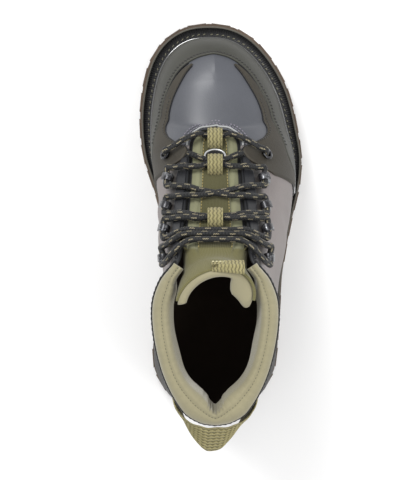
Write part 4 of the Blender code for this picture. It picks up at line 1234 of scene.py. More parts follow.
class BOOT_OT_sole(Operator):
    """Outsole, midsole, welt with its stitches, and insole"""

    bl_idname = "boot.sole"
    bl_label = "Sole"

    def execute(self, context):
        tint = colours()
        outsole = solid_copy("outsole_rubber", "outsole", 0.0006)
        seat_piece(outsole, "outsole_rubber", rubber("lugged_rubber", tint.outsole, tint.dust), "outsole")
        self.midsole(tint)
        self.welt(tint)
        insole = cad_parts["insole"]
        insole.data.materials.clear()
        # The insole gets the dark lining colour, darkened further as painted shade inside the boot.
        insole.data.materials.append(weave("insole_cloth_and_shade", tint.inside))
        return {"FINISHED"}

    def midsole(self, tint):
        """Foam layer with a moulded groove and a rib."""
        def level(share):
            return lambda y: midsole_bottom(y) + share * (deck(y) - midsole_bottom(y))

        profile = [
            (0.0030, 0.00), (0.0006, 0.00), (0.0000, 0.05), (0.0000, 0.40), (0.0004, 0.44),
            (0.0012, 0.48), (0.0012, 0.56), (0.0004, 0.60), (0.0000, 0.64), (0.0000, 0.95),
            (0.0006, 1.00), (0.0030, 1.00),
        ]
        section = [(lambda base, deep=deep: step_at(base) + deep, level(share)) for deep, share in profile]
        points, place = sole_ring(section)
        piece = grid_piece("midsole_foam", points, place, closed=(True, True), flip=True)
        made = rubber("moulded_foam", tint.midsole, tint.dust, 0.85)
        seat_piece(piece, "midsole_foam", made, "midsole")

    def welt(self, tint):
        """Strip with a pale outer lip and a sewn channel."""
        def bottom(y):
            return deck(y) + CLEARANCE

        def height(drop):
            return lambda y: deck(y) + CLEARANCE + WELT_HEIGHT - drop

        channel = STITCH_CHANNEL
        lean = 0.25 * WELT_HEIGHT
        section = [
            (step_at, bottom),
            (step_at, height(0.0009)),
            (lambda base: step_at(base) + 0.0002, height(0.0003)),
            (lambda base: step_at(base) + 0.0005, height(0.0)),
            (lambda base: step_at(base) + WELT_LIP, height(0.0)),
            (lambda base: step_at(base) + WELT_LIP + 0.0003, height(0.0004)),
            (lambda base: step_at(base) + WELT_LIP + 0.0005, height(channel)),
            (lambda base: (step_at(base) + WELT_LIP + foot_inset(base)) / 2, height(channel + 0.0003)),
            (lambda base: foot_inset(base) - lean - 0.0004, height(channel)),
            (lambda base: foot_inset(base) - lean, height(channel - 0.0005)),
            (lambda base: foot_inset(base), bottom),
        ]
        points, place = sole_ring(section)
        piece = grid_piece("welt_strip", points, place, closed=(True, True), flip=True)
        made = Finish("welt_rubber", 0.55, Specular_IOR_Level=0.5)
        across = made.map("place")[1]
        along = made.map("cloth")[0]
        teeth = made.wave(along * (2 * pi / 0.0017))
        lip = across.above(0.46, 0.43)
        black = made.mix(teeth.above(0.3, 0.8) * 0.6, tint.welt, shade(tint.welt, 2.2))
        pale = made.mix(made.noise(300.0), shade(tint.lip, 0.8), tint.lip)
        teeth = made.bump(teeth * (1.0 - lip), 0.0004)
        finish = made.done(made.mix(lip, black, pale), lip * 0.15 + 0.5, teeth)
        seat_piece(piece, "welt_rubber", finish, "welt")
        line, normals = [], []
        for k in range(600):
            side, base = split(k / 300)
            spot = edge(side, base, (step_at(base) + WELT_LIP + foot_inset(base)) / 2 + 0.0002)
            line.append((spot.x + SHIFT.x, spot.y + SHIFT.y, height(channel + 0.0001)(spot.y)))
            normals.append((0.0, 0.0, 1.0))
        line, normals = np.array(line), np.array(normals)
        parts = stitch_meshes(line, normals, *WELT_STITCH, skew=0.35)
        sewn("welt_stitches", parts, "welt_rubber", "sole_thread", tint.sole_thread)


def band_piece(name, table, us, thickness, rows=26):
    """Closed pillow of an overlay: its face, rolled down at all edges, and its underside."""
    base = bases_of(us)
    low = column_of(table, "low", base)[:, None]
    high = column_of(table, "high", base)[:, None]
    shares = (1 - np.cos(np.linspace(0, pi, rows)))[None, :] / 2
    vs = low + (high - low) * shares
    from_edge = np.minimum(shares, 1 - shares) * (high - low) * RIB_LENGTH
    from_end = np.minimum(np.arange(len(us)), np.arange(len(us))[::-1])[:, None]
    spacing = np.abs(us[1] - us[0]) * 0.42
    inward = np.minimum(from_edge, from_end * spacing)
    roll = np.sqrt(np.clip(1 - (1 - np.clip(inward / (0.9 * thickness), 0, 1)) ** 2, 0, 1))
    gap = 0.25 * PANEL_GAP
    face = skin(us[:, None], vs, gap + (thickness + PANEL_GAP - gap) * roll)
    under_shares = shares[:, ::-4]
    under = skin(us[:, None], low + (high - low) * under_shares, gap * 0.6)
    points = np.concatenate([face, under[:, 1:-1]], axis=1)
    across = np.concatenate([shares, under_shares[:, 1:-1]], axis=1)
    place = (np.broadcast_to(us[:, None], points.shape[:2]), np.broadcast_to(across, points.shape[:2]))
    return grid_piece(name, points, place, closed=(False, True), flip=True)


def edge_row(table, us, inset, lift):
    """A line along an overlay's upper edge, an inset in from it, with its normals."""
    return skin_row(us, column_of(table, "high", bases_of(us)) - inset / RIB_LENGTH, lift)


def far_side(us):
    """The same columns on the medial side."""
    return 2.0 - us


def both_sides(first, last, count):
    """Columns over a stretch of the lateral side, and over the same stretch of the medial side."""
    return (
        ("lateral", np.linspace(first, last, count)),
        ("medial", np.linspace(2 - last, 2 - first, count)),
    )


class BOOT_OT_upper(Operator):
    """Upper with its folds, toe rand, side overlays, heel counter and eyestays"""

    bl_idname = "boot.upper"
    bl_label = "Upper"

    def execute(self, context):
        tint, size = colours(), sizes()
        self.shell(tint)
        self.overlays(tint, size)
        self.piping(tint)
        return {"FINISHED"}

    def shell(self, tint):
        us = np.linspace(0.0, 2.0, 321)[:-1]
        vs = np.linspace(0.0, 1.0, 73)
        points = skin(us[:, None], vs[None, :])
        place = np.meshgrid(us, vs, indexing="ij")
        piece = merged(grid_piece("upper_skin", points, place, closed=(True, False), flip=True))
        thicken(piece, WALL)
        self.open_eyelets(piece)
        seat_piece(piece, "upper_leather", quarter_leather(tint), "upper")
        # The inner wall gets the dark lining colour, darkened further as painted shade inside the boot.
        piece.data.materials.append(weave("inner_lining_and_shade", tint.inside, fuzz=0.0))
        piece.modifiers["wall"].material_offset = 1

    def open_eyelets(self, piece):
        """Takes the faces inside both eyelets out of a sheet."""
        with reshaped(piece) as form:
            for side in (LATERAL, MEDIAL):
                centre = Vector(skin(column_at(EYELET, side), EYELET.row))
                inside = [f for f in form.faces if (f.calc_center_median() - centre).length < EYELET_BORE]
                bmesh.ops.delete(form, geom=inside, context="FACES")

    def overlays(self, tint, size):
        thick = size.panel_thickness
        # The rand and the side overlays get painted highlights along their edges.
        rand = leather("rand_leather", tint.rand, 0.0008, 0.58, 0.00009, speckle=0.25, edges=0.55)
        olive = leather("overlay_leather", tint.overlay, 0.0012, 0.7, 0.00014, speckle=0.45, edges=0.5)
        stay = leather("eyestay_leather", shade(tint.binding, 1.6), 0.001, 0.45, 0.00008, coat=0.2)
        dark = leather("counter_leather", shade(tint.overlay, 0.45), 0.0012, 0.6, 0.00014, speckle=0.3)
        end = RAND[-1].base
        piece = band_piece("toe_rand_band", RAND, np.linspace(-end, end, 260), thick)
        seat_piece(piece, "overlay_leather", rand, "toe_rand")
        first, last = SIDE_OVERLAY[0].base, SIDE_OVERLAY[-1].base
        for label, us in both_sides(first, last, 120):
            piece = band_piece(f"side_band_{label}", SIDE_OVERLAY, us, thick)
            self.open_eyelets(piece)
            seat_piece(piece, "overlay_leather", olive, f"overlay_{label}")
        start = COUNTER[0].base
        piece = band_piece("heel_counter_band", COUNTER, np.linspace(start, 2 - start, 200), thick)
        seat_piece(piece, "overlay_leather", dark, "heel_counter")
        first, last = EYESTAY[0].base, EYESTAY[-1].base
        for label, us in both_sides(first, last, 90):
            piece = band_piece(f"eyestay_{label}", EYESTAY, us, 0.4 * thick, rows=14)
            seat_piece(piece, "upper_leather", stay)
        self.stitching(tint, size, thick)

    def stitching(self, tint, size, thick):
        """Double rows of dark thread beside the bands' edges."""
        pitch, width = size.stitch_pitch, size.thread_width
        lift = thick + PANEL_GAP
        parts = []
        end = RAND[-1].base - 0.05
        for inset in STITCH_ROWS:
            line, normals = edge_row(RAND, np.linspace(-end, end, 300), inset, lift)
            parts += stitch_meshes(line, normals, pitch, 0.55 * pitch, width)
        sides = np.linspace(SIDE_OVERLAY[0].base + 0.12, SIDE_OVERLAY[-1].base - 0.045, 160)
        for us in (sides, far_side(sides)):
            line, normals = edge_row(SIDE_OVERLAY, us, OVERLAY_ROW, lift)
            parts += stitch_meshes(line, normals, pitch, 0.55 * pitch, width)
        heel = np.linspace(COUNTER[0].base + 0.05, 1.95 - COUNTER[0].base, 260)
        for inset in STITCH_ROWS:
            line, normals = edge_row(COUNTER, heel, inset, lift)
            parts += stitch_meshes(line, normals, pitch, 0.6 * pitch, width)
        sewn("overlay_stitches", parts, "overlay_leather", "dark_thread", tint.dark_thread)
        throat = []
        line, normals = self.throat_edge(0.0)
        out = unit(np.cross(unit(np.gradient(line, axis=0)), normals))
        out = out * np.sign(out[len(out) // 2, 1])
        for offset in THROAT_ROWS:
            row = line + out * offset + normals * (0.0003 - offset**2 / 0.12)
            throat += stitch_meshes(row, normals, *THROAT_STITCH)
        sewn("throat_stitches", throat, "upper_leather", "mauve_thread", tint.throat_thread)

    def throat_edge(self, lift):
        """Line along the vamp's edge round the foot of the throat, with its normals."""
        spread = np.linspace(-1.0, 1.0, 41)
        us = THROAT_FOOT + (PIPING_END - THROAT_FOOT) * np.abs(spread)
        us = np.where(spread < 0, 2.0 - us, us)
        return skin_row(us, np.full_like(us, PIPING_ROW), lift)

    def piping(self, tint):
        """Black cords that close the bands' edges, and the edge binding of the collar."""
        black = weave("binding_cloth", tint.binding, 0.0007, 0.0001)
        lines = []
        polish = {"Specular_IOR_Level": 0.8, "Coat_Weight": 1.0, "Coat_Roughness": 0.08, "Coat_IOR": 2.2}
        gloss = Finish("feather_rubber", 0.15, **polish)
        gloss.feed("Base Color", gloss.tones(gloss.noise(500.0), tint.binding, 0.8, 1.5))
        line = skin(np.linspace(-FEATHER_END, FEATHER_END, 300), FEATHER_ROW, 0.0018)
        seat_piece(cord_piece("feather_line", line, FEATHER_RADIUS, 12), "welt_rubber", gloss.material)
        front = np.linspace(0.15, 0.425, 120)
        for us in (front, far_side(front)):
            base = bases_of(us)
            lines.append((skin_row(us, column_of(RAND, "high", base) + 0.004, 0.0003)[0], 0.0007))
            lines.append((skin_row(us, column_of(SIDE_OVERLAY, "high", base) + 0.005, 0.0002)[0], 0.0006))
        share = np.linspace(0.0, 1.0, 80)
        rear = 0.4125 + 0.048 * share**1.3 + 0.004
        rows = PIPING_ROW - 0.88 * share
        for us in (rear, far_side(rear)):
            lines.append((skin_row(us, rows, 0.0004)[0], 0.0008))
        for number, (line, radius) in enumerate(lines, 1):
            seat_piece(cord_piece(f"edge_piping_{number}", line, radius, 8), "upper_leather", black)
        us = np.linspace(BINDING_START, 2.0 - BINDING_START, 260)
        bumps = 1.0 + BINDING_BUMPS * np.sin(np.arange(len(us)) * 1.9)
        line = skin(us, BINDING_ROW, 0.0004)
        rings = tube_points(line, BINDING_RADIUS, 10)
        rings = line[:, None] + (rings - line[:, None]) * bumps[:, None, None]
        rings = rounded_ends(rings, line, BINDING_RADIUS)
        piece = grid_piece("collar_binding", rings, closed=(False, True), flip=True)
        seat_piece(piece, "upper_leather", black)
        line = self.throat_edge(CLEARANCE + PIPING_RADIUS)[0]
        pale = weave("throat_piping_cloth", tint.throat_piping, 0.0006, 0.0001, roughness=0.6)
        seat_piece(cord_piece("throat_cord", line, PIPING_RADIUS * 0.8), "webbing", pale, "throat_piping")


class BOOT_OT_lining(Operator):
    """Padded collar lining with its seam, puckers and heel gathers"""

    bl_idname = "boot.lining"
    bl_label = "Collar lining"

    def execute(self, context):
        tint = colours()
        start = 0.609375
        us = np.linspace(start, 2.0 - start, 300)
        base = bases_of(us)
        grown = ease(start, 0.67, base)
        fat = PAD_THICKNESS * (0.38 + 0.62 * grown) * (1 + 0.2 * ease(0.78, 1.0, base))
        fat = fat * (1 + 0.34 * bell(base - 0.930, 0.045) - 0.50 * bell(base - 1.0, 0.020))
        front = WALL + CLEARANCE * (1.8 + 2.2 * (1 - ease(start, start + 0.02, base)))
        top, out = skin(us, np.ones_like(us), with_normals=True)
        out = unit(out * np.array([1.0, 1.0, 0.0]))
        up = np.array([0.0, 0.0, 1.0])
        rise = (PAD_RISE * (0.45 + 0.55 * ease(start, 0.64, base)))[:, None]
        rim = top + up * 2 * CLEARANCE
        depth = (fat + front)[:, None]
        cage = [skin(us, 1 - PAD_SHARE * (1 - r / 4) - 0.02, -front) for r in range(5)]
        cage.append(rim - out * front[:, None])
        for outset, lift in ((-0.03, 0.0), (0.02, 0.45), (-0.20, 0.85), (-0.50, 1.0), (-0.80, 0.85)):
            cage.append(rim + out * outset * depth + up * lift * rise)
        seam_row = 9
        for r in range(5):
            share = r / 4
            thick = fat * (1 - 0.65 * share**1.5)
            cage.append(skin(us, 0.99 - (PAD_SHARE + 0.01) * share, -(front + thick)))
        per_span = 5
        points = curve_through(np.array(cage), per_span, closed=True).transpose(1, 0, 2)
        points = self.tailored(points, seam_row * per_span, base)
        place = np.meshgrid(us, np.linspace(0, 1, points.shape[1]), indexing="ij")
        piece = grid_piece("collar_lining", points, place, closed=(False, True))
        close_ends(piece, points.shape[1])
        made = weave("lining_knit", tint.lining, 0.0011, 0.0001, contrast=0.12, blotch=0.18, fuzz=0.4)
        seat_piece(piece, "lining_fabric", made, "collar_pad")
        line = points[:, seam_row * per_span]
        normals = np.broadcast_to(up, line.shape)
        parts = stitch_meshes(line - up * 0.0002, normals, *LINING_STITCH)
        sewn("lining_stitches", parts, "lining_fabric", "lining_thread", tint.lining_thread)
        return {"FINISHED"}

    def tailored(self, points, seam, base):
        """Presses the seam in, puckers the cloth beside it and gathers it at the heel."""
        normals = face_normals(points, closed_columns=True)
        centre = points.mean(axis=1, keepdims=True)
        outward = np.sign(np.sum(normals * (points - centre), axis=-1).mean())
        normals = normals * outward
        steps = np.linalg.norm(np.roll(points, -1, 1) - points, axis=-1)
        distance = np.cumsum(steps, axis=1) - steps
        from_seam = distance - distance[:, seam:seam + 1]
        seam_steps = np.linalg.norm(np.diff(points[:, seam], axis=0), axis=1)
        along = np.concatenate([[0.0], np.cumsum(seam_steps)])
        phase = along[:, None] / PUCKER_LENGTH * 2 * pi
        wobble = np.sin(phase) + 0.6 * np.sin(phase * 0.43 + 1.7)
        wobble = wobble + 0.4 * np.sin(phase * 1.9 + from_seam * 400)
        height = -SEAM_DEPTH * bell(from_seam, SEAM_WIDTH)
        height += PUCKER_HEIGHT * wobble * bell(np.abs(from_seam) - 0.003, 0.0035)
        heel = ease(0.955, 0.995, base)[:, None]
        inner = ease(0.001, 0.006, from_seam) * ease(0.045, 0.020, from_seam)
        across = (along - along.mean())[:, None]
        height += GATHER_HEIGHT * heel * inner * np.sin(across / GATHER_LENGTH * 2 * pi)
        fullness = 0.0004 * bell(from_seam - 0.006, 0.004) + 0.0003 * bell(from_seam + 0.005, 0.003)
        return points + normals * (height + fullness)[..., None]


class BOOT_OT_tongue(Operator):
    """Tongue with its middle panel, gussets and padded top roll"""

    bl_idname = "boot.tongue"
    bl_label = "Tongue"

    def execute(self, context):
        tint = colours()
        self.face(tint)
        self.roll(tint)
        return {"FINISHED"}

    def face(self, tint):
        depth = WALL + TONGUE_WALL_GAP
        spots = np.linspace(-1.0, 1.0, 121)
        rows = [instep(wing.base, spots, -depth, wing.reach) for wing in TONGUE_WINGS]
        rows += [tongue_top(level, spots) for level in range(len(TONGUE_TOP))]
        points = curve_through(rows, 7)
        throat_rows = (len(TONGUE_WINGS) - 1) * 7
        normals = face_normals(points)
        normals = normals * np.sign(normals[len(points) // 2, 60, 2])
        row = np.arange(len(points))[:, None] / throat_rows
        across = np.abs(spots)[None, :]
        under_lace = ease(1.12, 1.02, row)
        panel = ease(0.325, 0.300, across) * under_lace
        trough = bell(across - 0.335, 0.018) * under_lace
        height = 0.0009 * panel - 0.0009 * trough + 0.0006 * bell(across - 0.43, 0.06) * under_lace
        ripple = 0.00025 * np.sin(row * 46 + across * 9) * bell(across - 0.43, 0.08) * under_lace
        points = points + normals * (height + ripple - 0.0003)[..., None]
        place = (np.broadcast_to(row, points.shape[:2]), np.broadcast_to(spots[None, :], points.shape[:2]))
        piece = grid_piece("tongue_face", points, place)
        thicken(piece, TONGUE_SHEET)
        made = Finish("tongue_cloth", 0.9, Sheen_Weight=0.2, Specular_IOR_Level=0.25)
        level, side = made.map("place")
        warp, weft = made.map("cloth")
        turn = 2 * pi / 0.0009
        threads = made.wave(warp * turn) * made.wave(weft * turn)
        across = side.maths("ABSOLUTE", side)
        olive = made.tones(threads, tint.tongue, 0.80, 1.25)
        sage = made.tones(threads, tint.gusset, 0.92, 1.08)
        band = made.tones(threads, tint.tongue_band, 0.88, 1.14)
        tone = made.mix(across.above(0.300, 0.312), olive, sage)
        # Painted shade: the tongue's sides in the slit beside the quarters are painted near-black where
        # shade falls between the parts.
        tone = made.mix(across.above(0.53, 0.56), tone, shade(tint.binding, 1.2))
        tone = made.mix(level.above(1.03, 1.05), tone, band)
        cloth = made.done(tone, threads * -0.1 + 0.9, made.bump(threads, 0.00018))
        seat_piece(piece, "tongue_fabric", cloth, "tongue")
        parts = []
        stitch_rows = points[7:throat_rows + 3, :, :]
        for spot in (-0.285, 0.285):
            k = int(np.argmin(np.abs(spots - spot)))
            line, up = stitch_rows[:, k], normals[7:throat_rows + 3, k]
            parts += stitch_meshes(line, up, *TONGUE_STITCH)
        sewn("tongue_stitches", parts, "tongue_fabric", "tan_thread", tint.tongue_thread)

    def roll(self, tint):
        """Padded roll behind the tongue's top edge, wide on the lateral side."""
        spots = np.linspace(-1.07, 1.16, 150)
        last = len(TONGUE_TOP) - 1
        top = tongue_top(last, spots)
        up = unit(top - tongue_top(last - 0.5, spots))
        along = unit(np.gradient(top, axis=0))
        inward = unit(np.cross(up, along))
        middle = np.array([SHIFT.x, 0.28 * SOLE_LENGTH + SHIFT.y, 0.0])
        facing = np.sum(inward * (middle - top) * np.array([1.0, 1.0, 0.0]), axis=-1)
        inward = inward * np.sign(facing)[:, None]
        ends = np.sqrt(np.clip(np.minimum((spots + 1.075) / 0.09, (1.165 - spots) / 0.22), 0.01, 1))
        leaf = np.sqrt(np.clip(np.minimum((spots + 1.075) / 0.09, (1.165 - spots) / 0.50), 0.01, 1))
        lobe = ease(0.12, 0.66, spots)[:, None]
        fold_way = np.array([-0.82, -0.47, -0.30])
        spread = inward * ROLL_WIDTH * (1 - lobe) + (fold_way * LOBE_WIDTH) * lobe
        width = np.linalg.norm(spread, axis=1) * leaf
        thick = ROLL_THICKNESS * ends
        start = 0.0020
        tilt = unit(spread)
        middle_line = top + inward * start + tilt * (width / 2)[:, None] - up * (0.0012 + 0.0015 * lobe)
        over = unit(np.cross(tilt, np.cross(up, inward)))
        over = over * np.sign(np.sum(over * up, axis=-1))[:, None]
        turn = np.linspace(0, 2 * pi, 28, endpoint=False)
        bulge = np.sign(np.sin(turn)) * np.abs(np.sin(turn)) ** 0.85
        points = (
            middle_line[:, None] + tilt[:, None] * (np.cos(turn)[None, :] * width[:, None] / 2)[..., None]
            + over[:, None] * (bulge[None, :] * thick[:, None] / 2)[..., None]
        )
        piece = grid_piece("tongue_roll", points, closed=(False, True))
        close_ends(piece, points.shape[1])
        made = weave("tongue_roll_cloth", shade(tint.lining, 1.08), 0.0011, 0.0001, contrast=0.10, fuzz=0.4)
        seat_piece(piece, "lining_fabric", made)


def strip(centre_line, across, normal_way, thickness, ribs, rib_depth, columns_across=60):
    """Closed strip of ribbed webbing along a line, and its place map, which counts the ribs."""
    shares = np.linspace(-0.5, 0.5, columns_across)
    rounded = np.sqrt(np.clip(1 - (np.abs(shares) * 2) ** 8, 0.05, 1))
    height = (thickness / 2 + rib_depth * 0.5 * np.cos(shares * 2 * pi * ribs)) * rounded
    face = (
        centre_line[:, None] + across[:, None] * shares[None, :, None]
        + normal_way[:, None] * height[None, :, None]
    )
    back = (
        centre_line[:, None] + across[:, None] * shares[None, ::-1, None]
        - normal_way[:, None] * (thickness / 2 * rounded)[None, ::-1, None]
    )
    points = np.concatenate([face, back], axis=1)
    count = np.concatenate([shares, shares[::-1]]) * ribs + 0.25
    along = np.linspace(0, 1, len(points))
    return points, np.meshgrid(along, count, indexing="ij")


def strip_piece(name, points, place, slot, finish, *nodes):
    piece = grid_piece(name, points, place, closed=(False, True))
    close_ends(piece, points.shape[1])
    return seat_piece(piece, slot, finish, *nodes)


class BOOT_OT_webbing(Operator):
    """Lace keepers, tongue pull tab and heel loop"""

    bl_idname = "boot.webbing"
    bl_label = "Webbing"

    def execute(self, context):
        tint = colours()
        finish = webbing_weave("tan_webbing", tint.webbing)
        for number, base in enumerate(KEEPERS, 1):
            self.keeper(number, base, finish)
        self.pocket(tint)
        self.pull_tab(finish, tint)
        self.heel_loop(finish)
        return {"FINISHED"}

    def instep_frame(self, base):
        middle = instep(base, 0.0)
        back = unit(instep(base + 0.01, 0.0) - instep(base - 0.01, 0.0))
        across = np.array([1.0, 0.0, 0.0])
        return middle, back, across, np.cross(back, across)

    def keeper(self, number, base, finish):
        middle, back, across, normal = self.instep_frame(base)
        foot = -(WALL + TONGUE_WALL_GAP) + CLEARANCE
        top = LACE_DIP + sizes().lace_radius + KEEPER_HEADROOM + WEBBING
        turn = np.linspace(0, pi, 40)
        reach = KEEPER_REACH - WEBBING / 2
        along = -reach * np.cos(turn)
        height = foot + (top - foot - WEBBING / 2) * np.sin(turn) ** 0.75
        line = middle + back * along[:, None] + normal * height[:, None]
        ahead = unit(np.gradient(line, axis=0))
        over = unit(np.cross(ahead, np.broadcast_to(across, ahead.shape)))
        over = over * np.sign(over[20] @ normal)
        sides = np.broadcast_to(across * KEEPER_WIDTH, line.shape)
        points, place = strip(line, sides, over, WEBBING, ribs=4, rib_depth=0.0004, columns_across=33)
        strip_piece(f"keeper_webbing_{number}", points, place, "webbing", finish, f"keeper_{number}")

    def pocket(self, tint):
        """Half-moon opening in front of the second keeper, with a pale cord round it and a near-black disc
        at its floor as painted shadow inside it.
        """
        middle, back, across, normal = self.instep_frame(KEEPERS[1] - 0.020)
        turn = np.linspace(-0.06, pi + 0.06, 40)
        floor = -(WALL + TONGUE_WALL_GAP) + 0.0012
        arc = np.stack([np.cos(turn), -np.sin(turn) * 0.80], axis=1) * POCKET_RADIUS
        line = middle + across * arc[:, :1] + back * arc[:, 1:] + normal * (floor + 0.0006)
        cord = cord_piece("pocket_cord", line, 0.0007, 8)
        bright = Finish("silver_cord", 0.3, 0.6)
        tone = bright.mix(bright.noise(800.0), shade(tint.pocket_cord, 0.63), tint.pocket_cord)
        bright.feed("Base Color", tone)
        seat_piece(cord, "webbing", bright.material)
        # Painted shadow: a near-black sheet at the opening's floor stands for the shade inside the pocket.
        shares = np.linspace(0.0, 0.94, 8)
        disc = (
            middle + across * arc[None, :, :1] * shares[:, None, None]
            + back * arc[None, :, 1:] * shares[:, None, None]
            + normal * (floor + 0.0002 * shares[:, None, None])
        )
        painted_shadow_disc = thicken(grid_piece("pocket_mouth", disc), 0.0003)
        seat_piece(painted_shadow_disc, "tongue_fabric", weave("pocket_shadow_cloth", shade(tint.binding, 0.5)))

    def pull_tab(self, finish, tint):
        last = len(TONGUE_TOP) - 1
        start = -0.20
        half = TONGUE_TOP[-1].half * COLLAR_WIDTH
        stop = np.arcsin(np.sin(start * pi / 2) + PULL_WIDTH / half) * 2 / pi
        spots = np.linspace(start, stop, 60)
        top = tongue_top(last, spots)
        up = unit(top - tongue_top(last - 0.5, spots))
        out = unit(np.cross(np.gradient(top, axis=0), up))
        out = out * np.sign(out[:, 1:2])
        gap = 2 * CLEARANCE
        ribs = (PULL_RIB_DEPTH * np.cos(np.linspace(0, 1, 60) * 2 * pi * PULL_RIBS))[:, None]
        lift = gap + WEBBING + ribs
        rows = [
            tongue_top(last - 0.95, spots) + out * (gap + 0.0002),
            tongue_top(last - 0.92, spots) + out * lift,
            tongue_top(last - 0.55, spots) + out * lift,
            top + out * lift,
            top + out * (gap + WEBBING * 0.5) + up * (gap + WEBBING * 0.9 + ribs),
            top - out * TONGUE_THICKNESS * 0.5 + up * (gap + WEBBING * 1.3 + ribs),
        ]
        across = np.mean([row[len(row) // 2, 0] for row in rows])
        rows = [self.straightened(row, across) for row in rows]
        points = curve_through(np.array(rows), 5)
        count = np.linspace(0, PULL_RIBS, 60) + 0.25
        place = np.meshgrid(np.linspace(0, 1, len(points)), count, indexing="ij")
        piece = thicken(grid_piece("pull_tab", points, place, flip=True), WEBBING)
        seat_piece(piece, "webbing", finish, "tongue_pull")
        level = self.straightened(tongue_top(last - 0.80, spots) + out * (gap + WEBBING + 0.0002), across)
        parts = stitch_meshes(level, out, *PULL_STITCH)
        sewn("pull_tab_stitches", parts, "webbing", "pale_thread", tint.pull_thread)

    def straightened(self, row, across):
        """A row of the pull tab bent less than the tongue under it, and turned towards the front."""
        middle = row[len(row) // 2]
        way = row[len(row) // 2 + 1] - row[len(row) // 2 - 1]
        way = way / way[0] * np.array([1.0, 0.35, 1.0])
        shares = np.linspace(-0.5, 0.5, len(row))[:, None]
        level = middle + way * PULL_WIDTH * 0.96 * shares
        level[:, 0] += 0.9 * (across - middle[0])
        return 0.15 * row + 0.85 * level

    def heel_loop(self, finish):
        gap = 2 * CLEARANCE
        tab, leave = 0.845, 0.885
        high, low = 0.965, 0.790
        upper, lower = (skin(leave, v, gap) for v in (high, low))
        back = skin(1.0, 1.0)
        middle = SHIFT.x
        turn = np.linspace(0, pi, 90)
        side, rise = np.cos(turn), np.sin(turn)
        x_top = middle + (upper[0] - middle) * np.sign(side) * np.abs(side) ** 0.9
        y_top = upper[1] - (upper[1] - back[1] + LOOP_SLACK) * rise**0.85
        z_top = upper[2] + (back[2] - upper[2]) * rise
        y_low = lower[1] - (lower[1] - back[1] + LOOP_SLACK + LOOP_REACH) * rise**1.9
        x_low = middle + (lower[0] - middle) * side - LOOP_SLACK * rise
        drop = np.sqrt(np.maximum(LOOP_WIDTH**2 - (y_top - y_low) ** 2, 0.0))
        z_low = lower[2] + (z_top - drop - lower[2]) * ease(0.0, 0.5, rise)
        tops = np.stack([x_top, y_top, z_top], axis=1)
        lows = np.stack([x_low, y_low, z_low], axis=1)
        ends = []
        for sign in (1, -1):
            us = np.linspace(tab, leave, 12)[:-1]
            us = us if sign > 0 else far_side(us)[::-1]
            ends.append([skin(us, row, gap + LOOP_THICKNESS / 2) for row in (high, low)])
        tops = np.concatenate([ends[0][0], tops, ends[1][0]])
        lows = np.concatenate([ends[0][1], lows, ends[1][1]])
        across = lows - tops
        centre = (tops + lows) / 2
        ahead = unit(np.gradient(centre, axis=0))
        normal = unit(np.cross(ahead, unit(across)))
        outward = np.sign(np.sum(normal * (centre - np.array([middle, back[1] + 0.04, 0.14])), axis=1))
        normal = normal * outward[:, None]
        wave = (across * 0.0005 * np.sin(np.arange(len(centre)) * 0.55)[:, None]) / LOOP_WIDTH
        points, place = strip(centre + wave, across, normal, LOOP_THICKNESS, ribs=8, rib_depth=0.0007)
        strip_piece("heel_loop_webbing", points, place, "webbing", finish, "heel_loop")


def hook_outline(radius):
    """Side view of a lace hook: a base strip that curls up and back over the lace."""
    inner = radius + LACE_GAP
    outer = inner + HOOK_STRIP
    centre = HOOK_STRIP + inner
    steps = 12
    line = [(HOOK_BASE, 0.0), (0.0, 0.0)]
    line += [(-outer * sin(pi * k / steps), centre - outer * cos(pi * k / steps)) for k in range(1, steps)]
    line += [(0.0, centre + outer), (0.5 * HOOK_BASE, centre + outer)]
    line += [(0.62 * HOOK_BASE, centre + outer - 0.0004)]
    line += [(0.55 * HOOK_BASE, centre + inner), (0.0, centre + inner)]
    line += [(-inner * sin(pi * k / steps), centre + inner * cos(pi * k / steps)) for k in range(1, steps)]
    line += [(0.0, HOOK_STRIP), (HOOK_BASE, HOOK_STRIP)]
    return line


def axes_at(u, row):
    """Point on the upper with the directions down its rib, sideways and outwards."""
    point, normal = skin(u, row, with_normals=True)
    down = skin(u, row - 0.05) - point
    down = unit(down - normal * np.dot(down, normal))
    return point, down, np.cross(normal, down), normal


def turned(section, sides):
    """Rings of a turned shape. section: radius and height pairs."""
    turn = np.linspace(0, 2 * pi, sides, endpoint=False)
    rings = [[(r * cos(a), r * sin(a), z) for a in turn] for r, z in section]
    return np.array(rings)


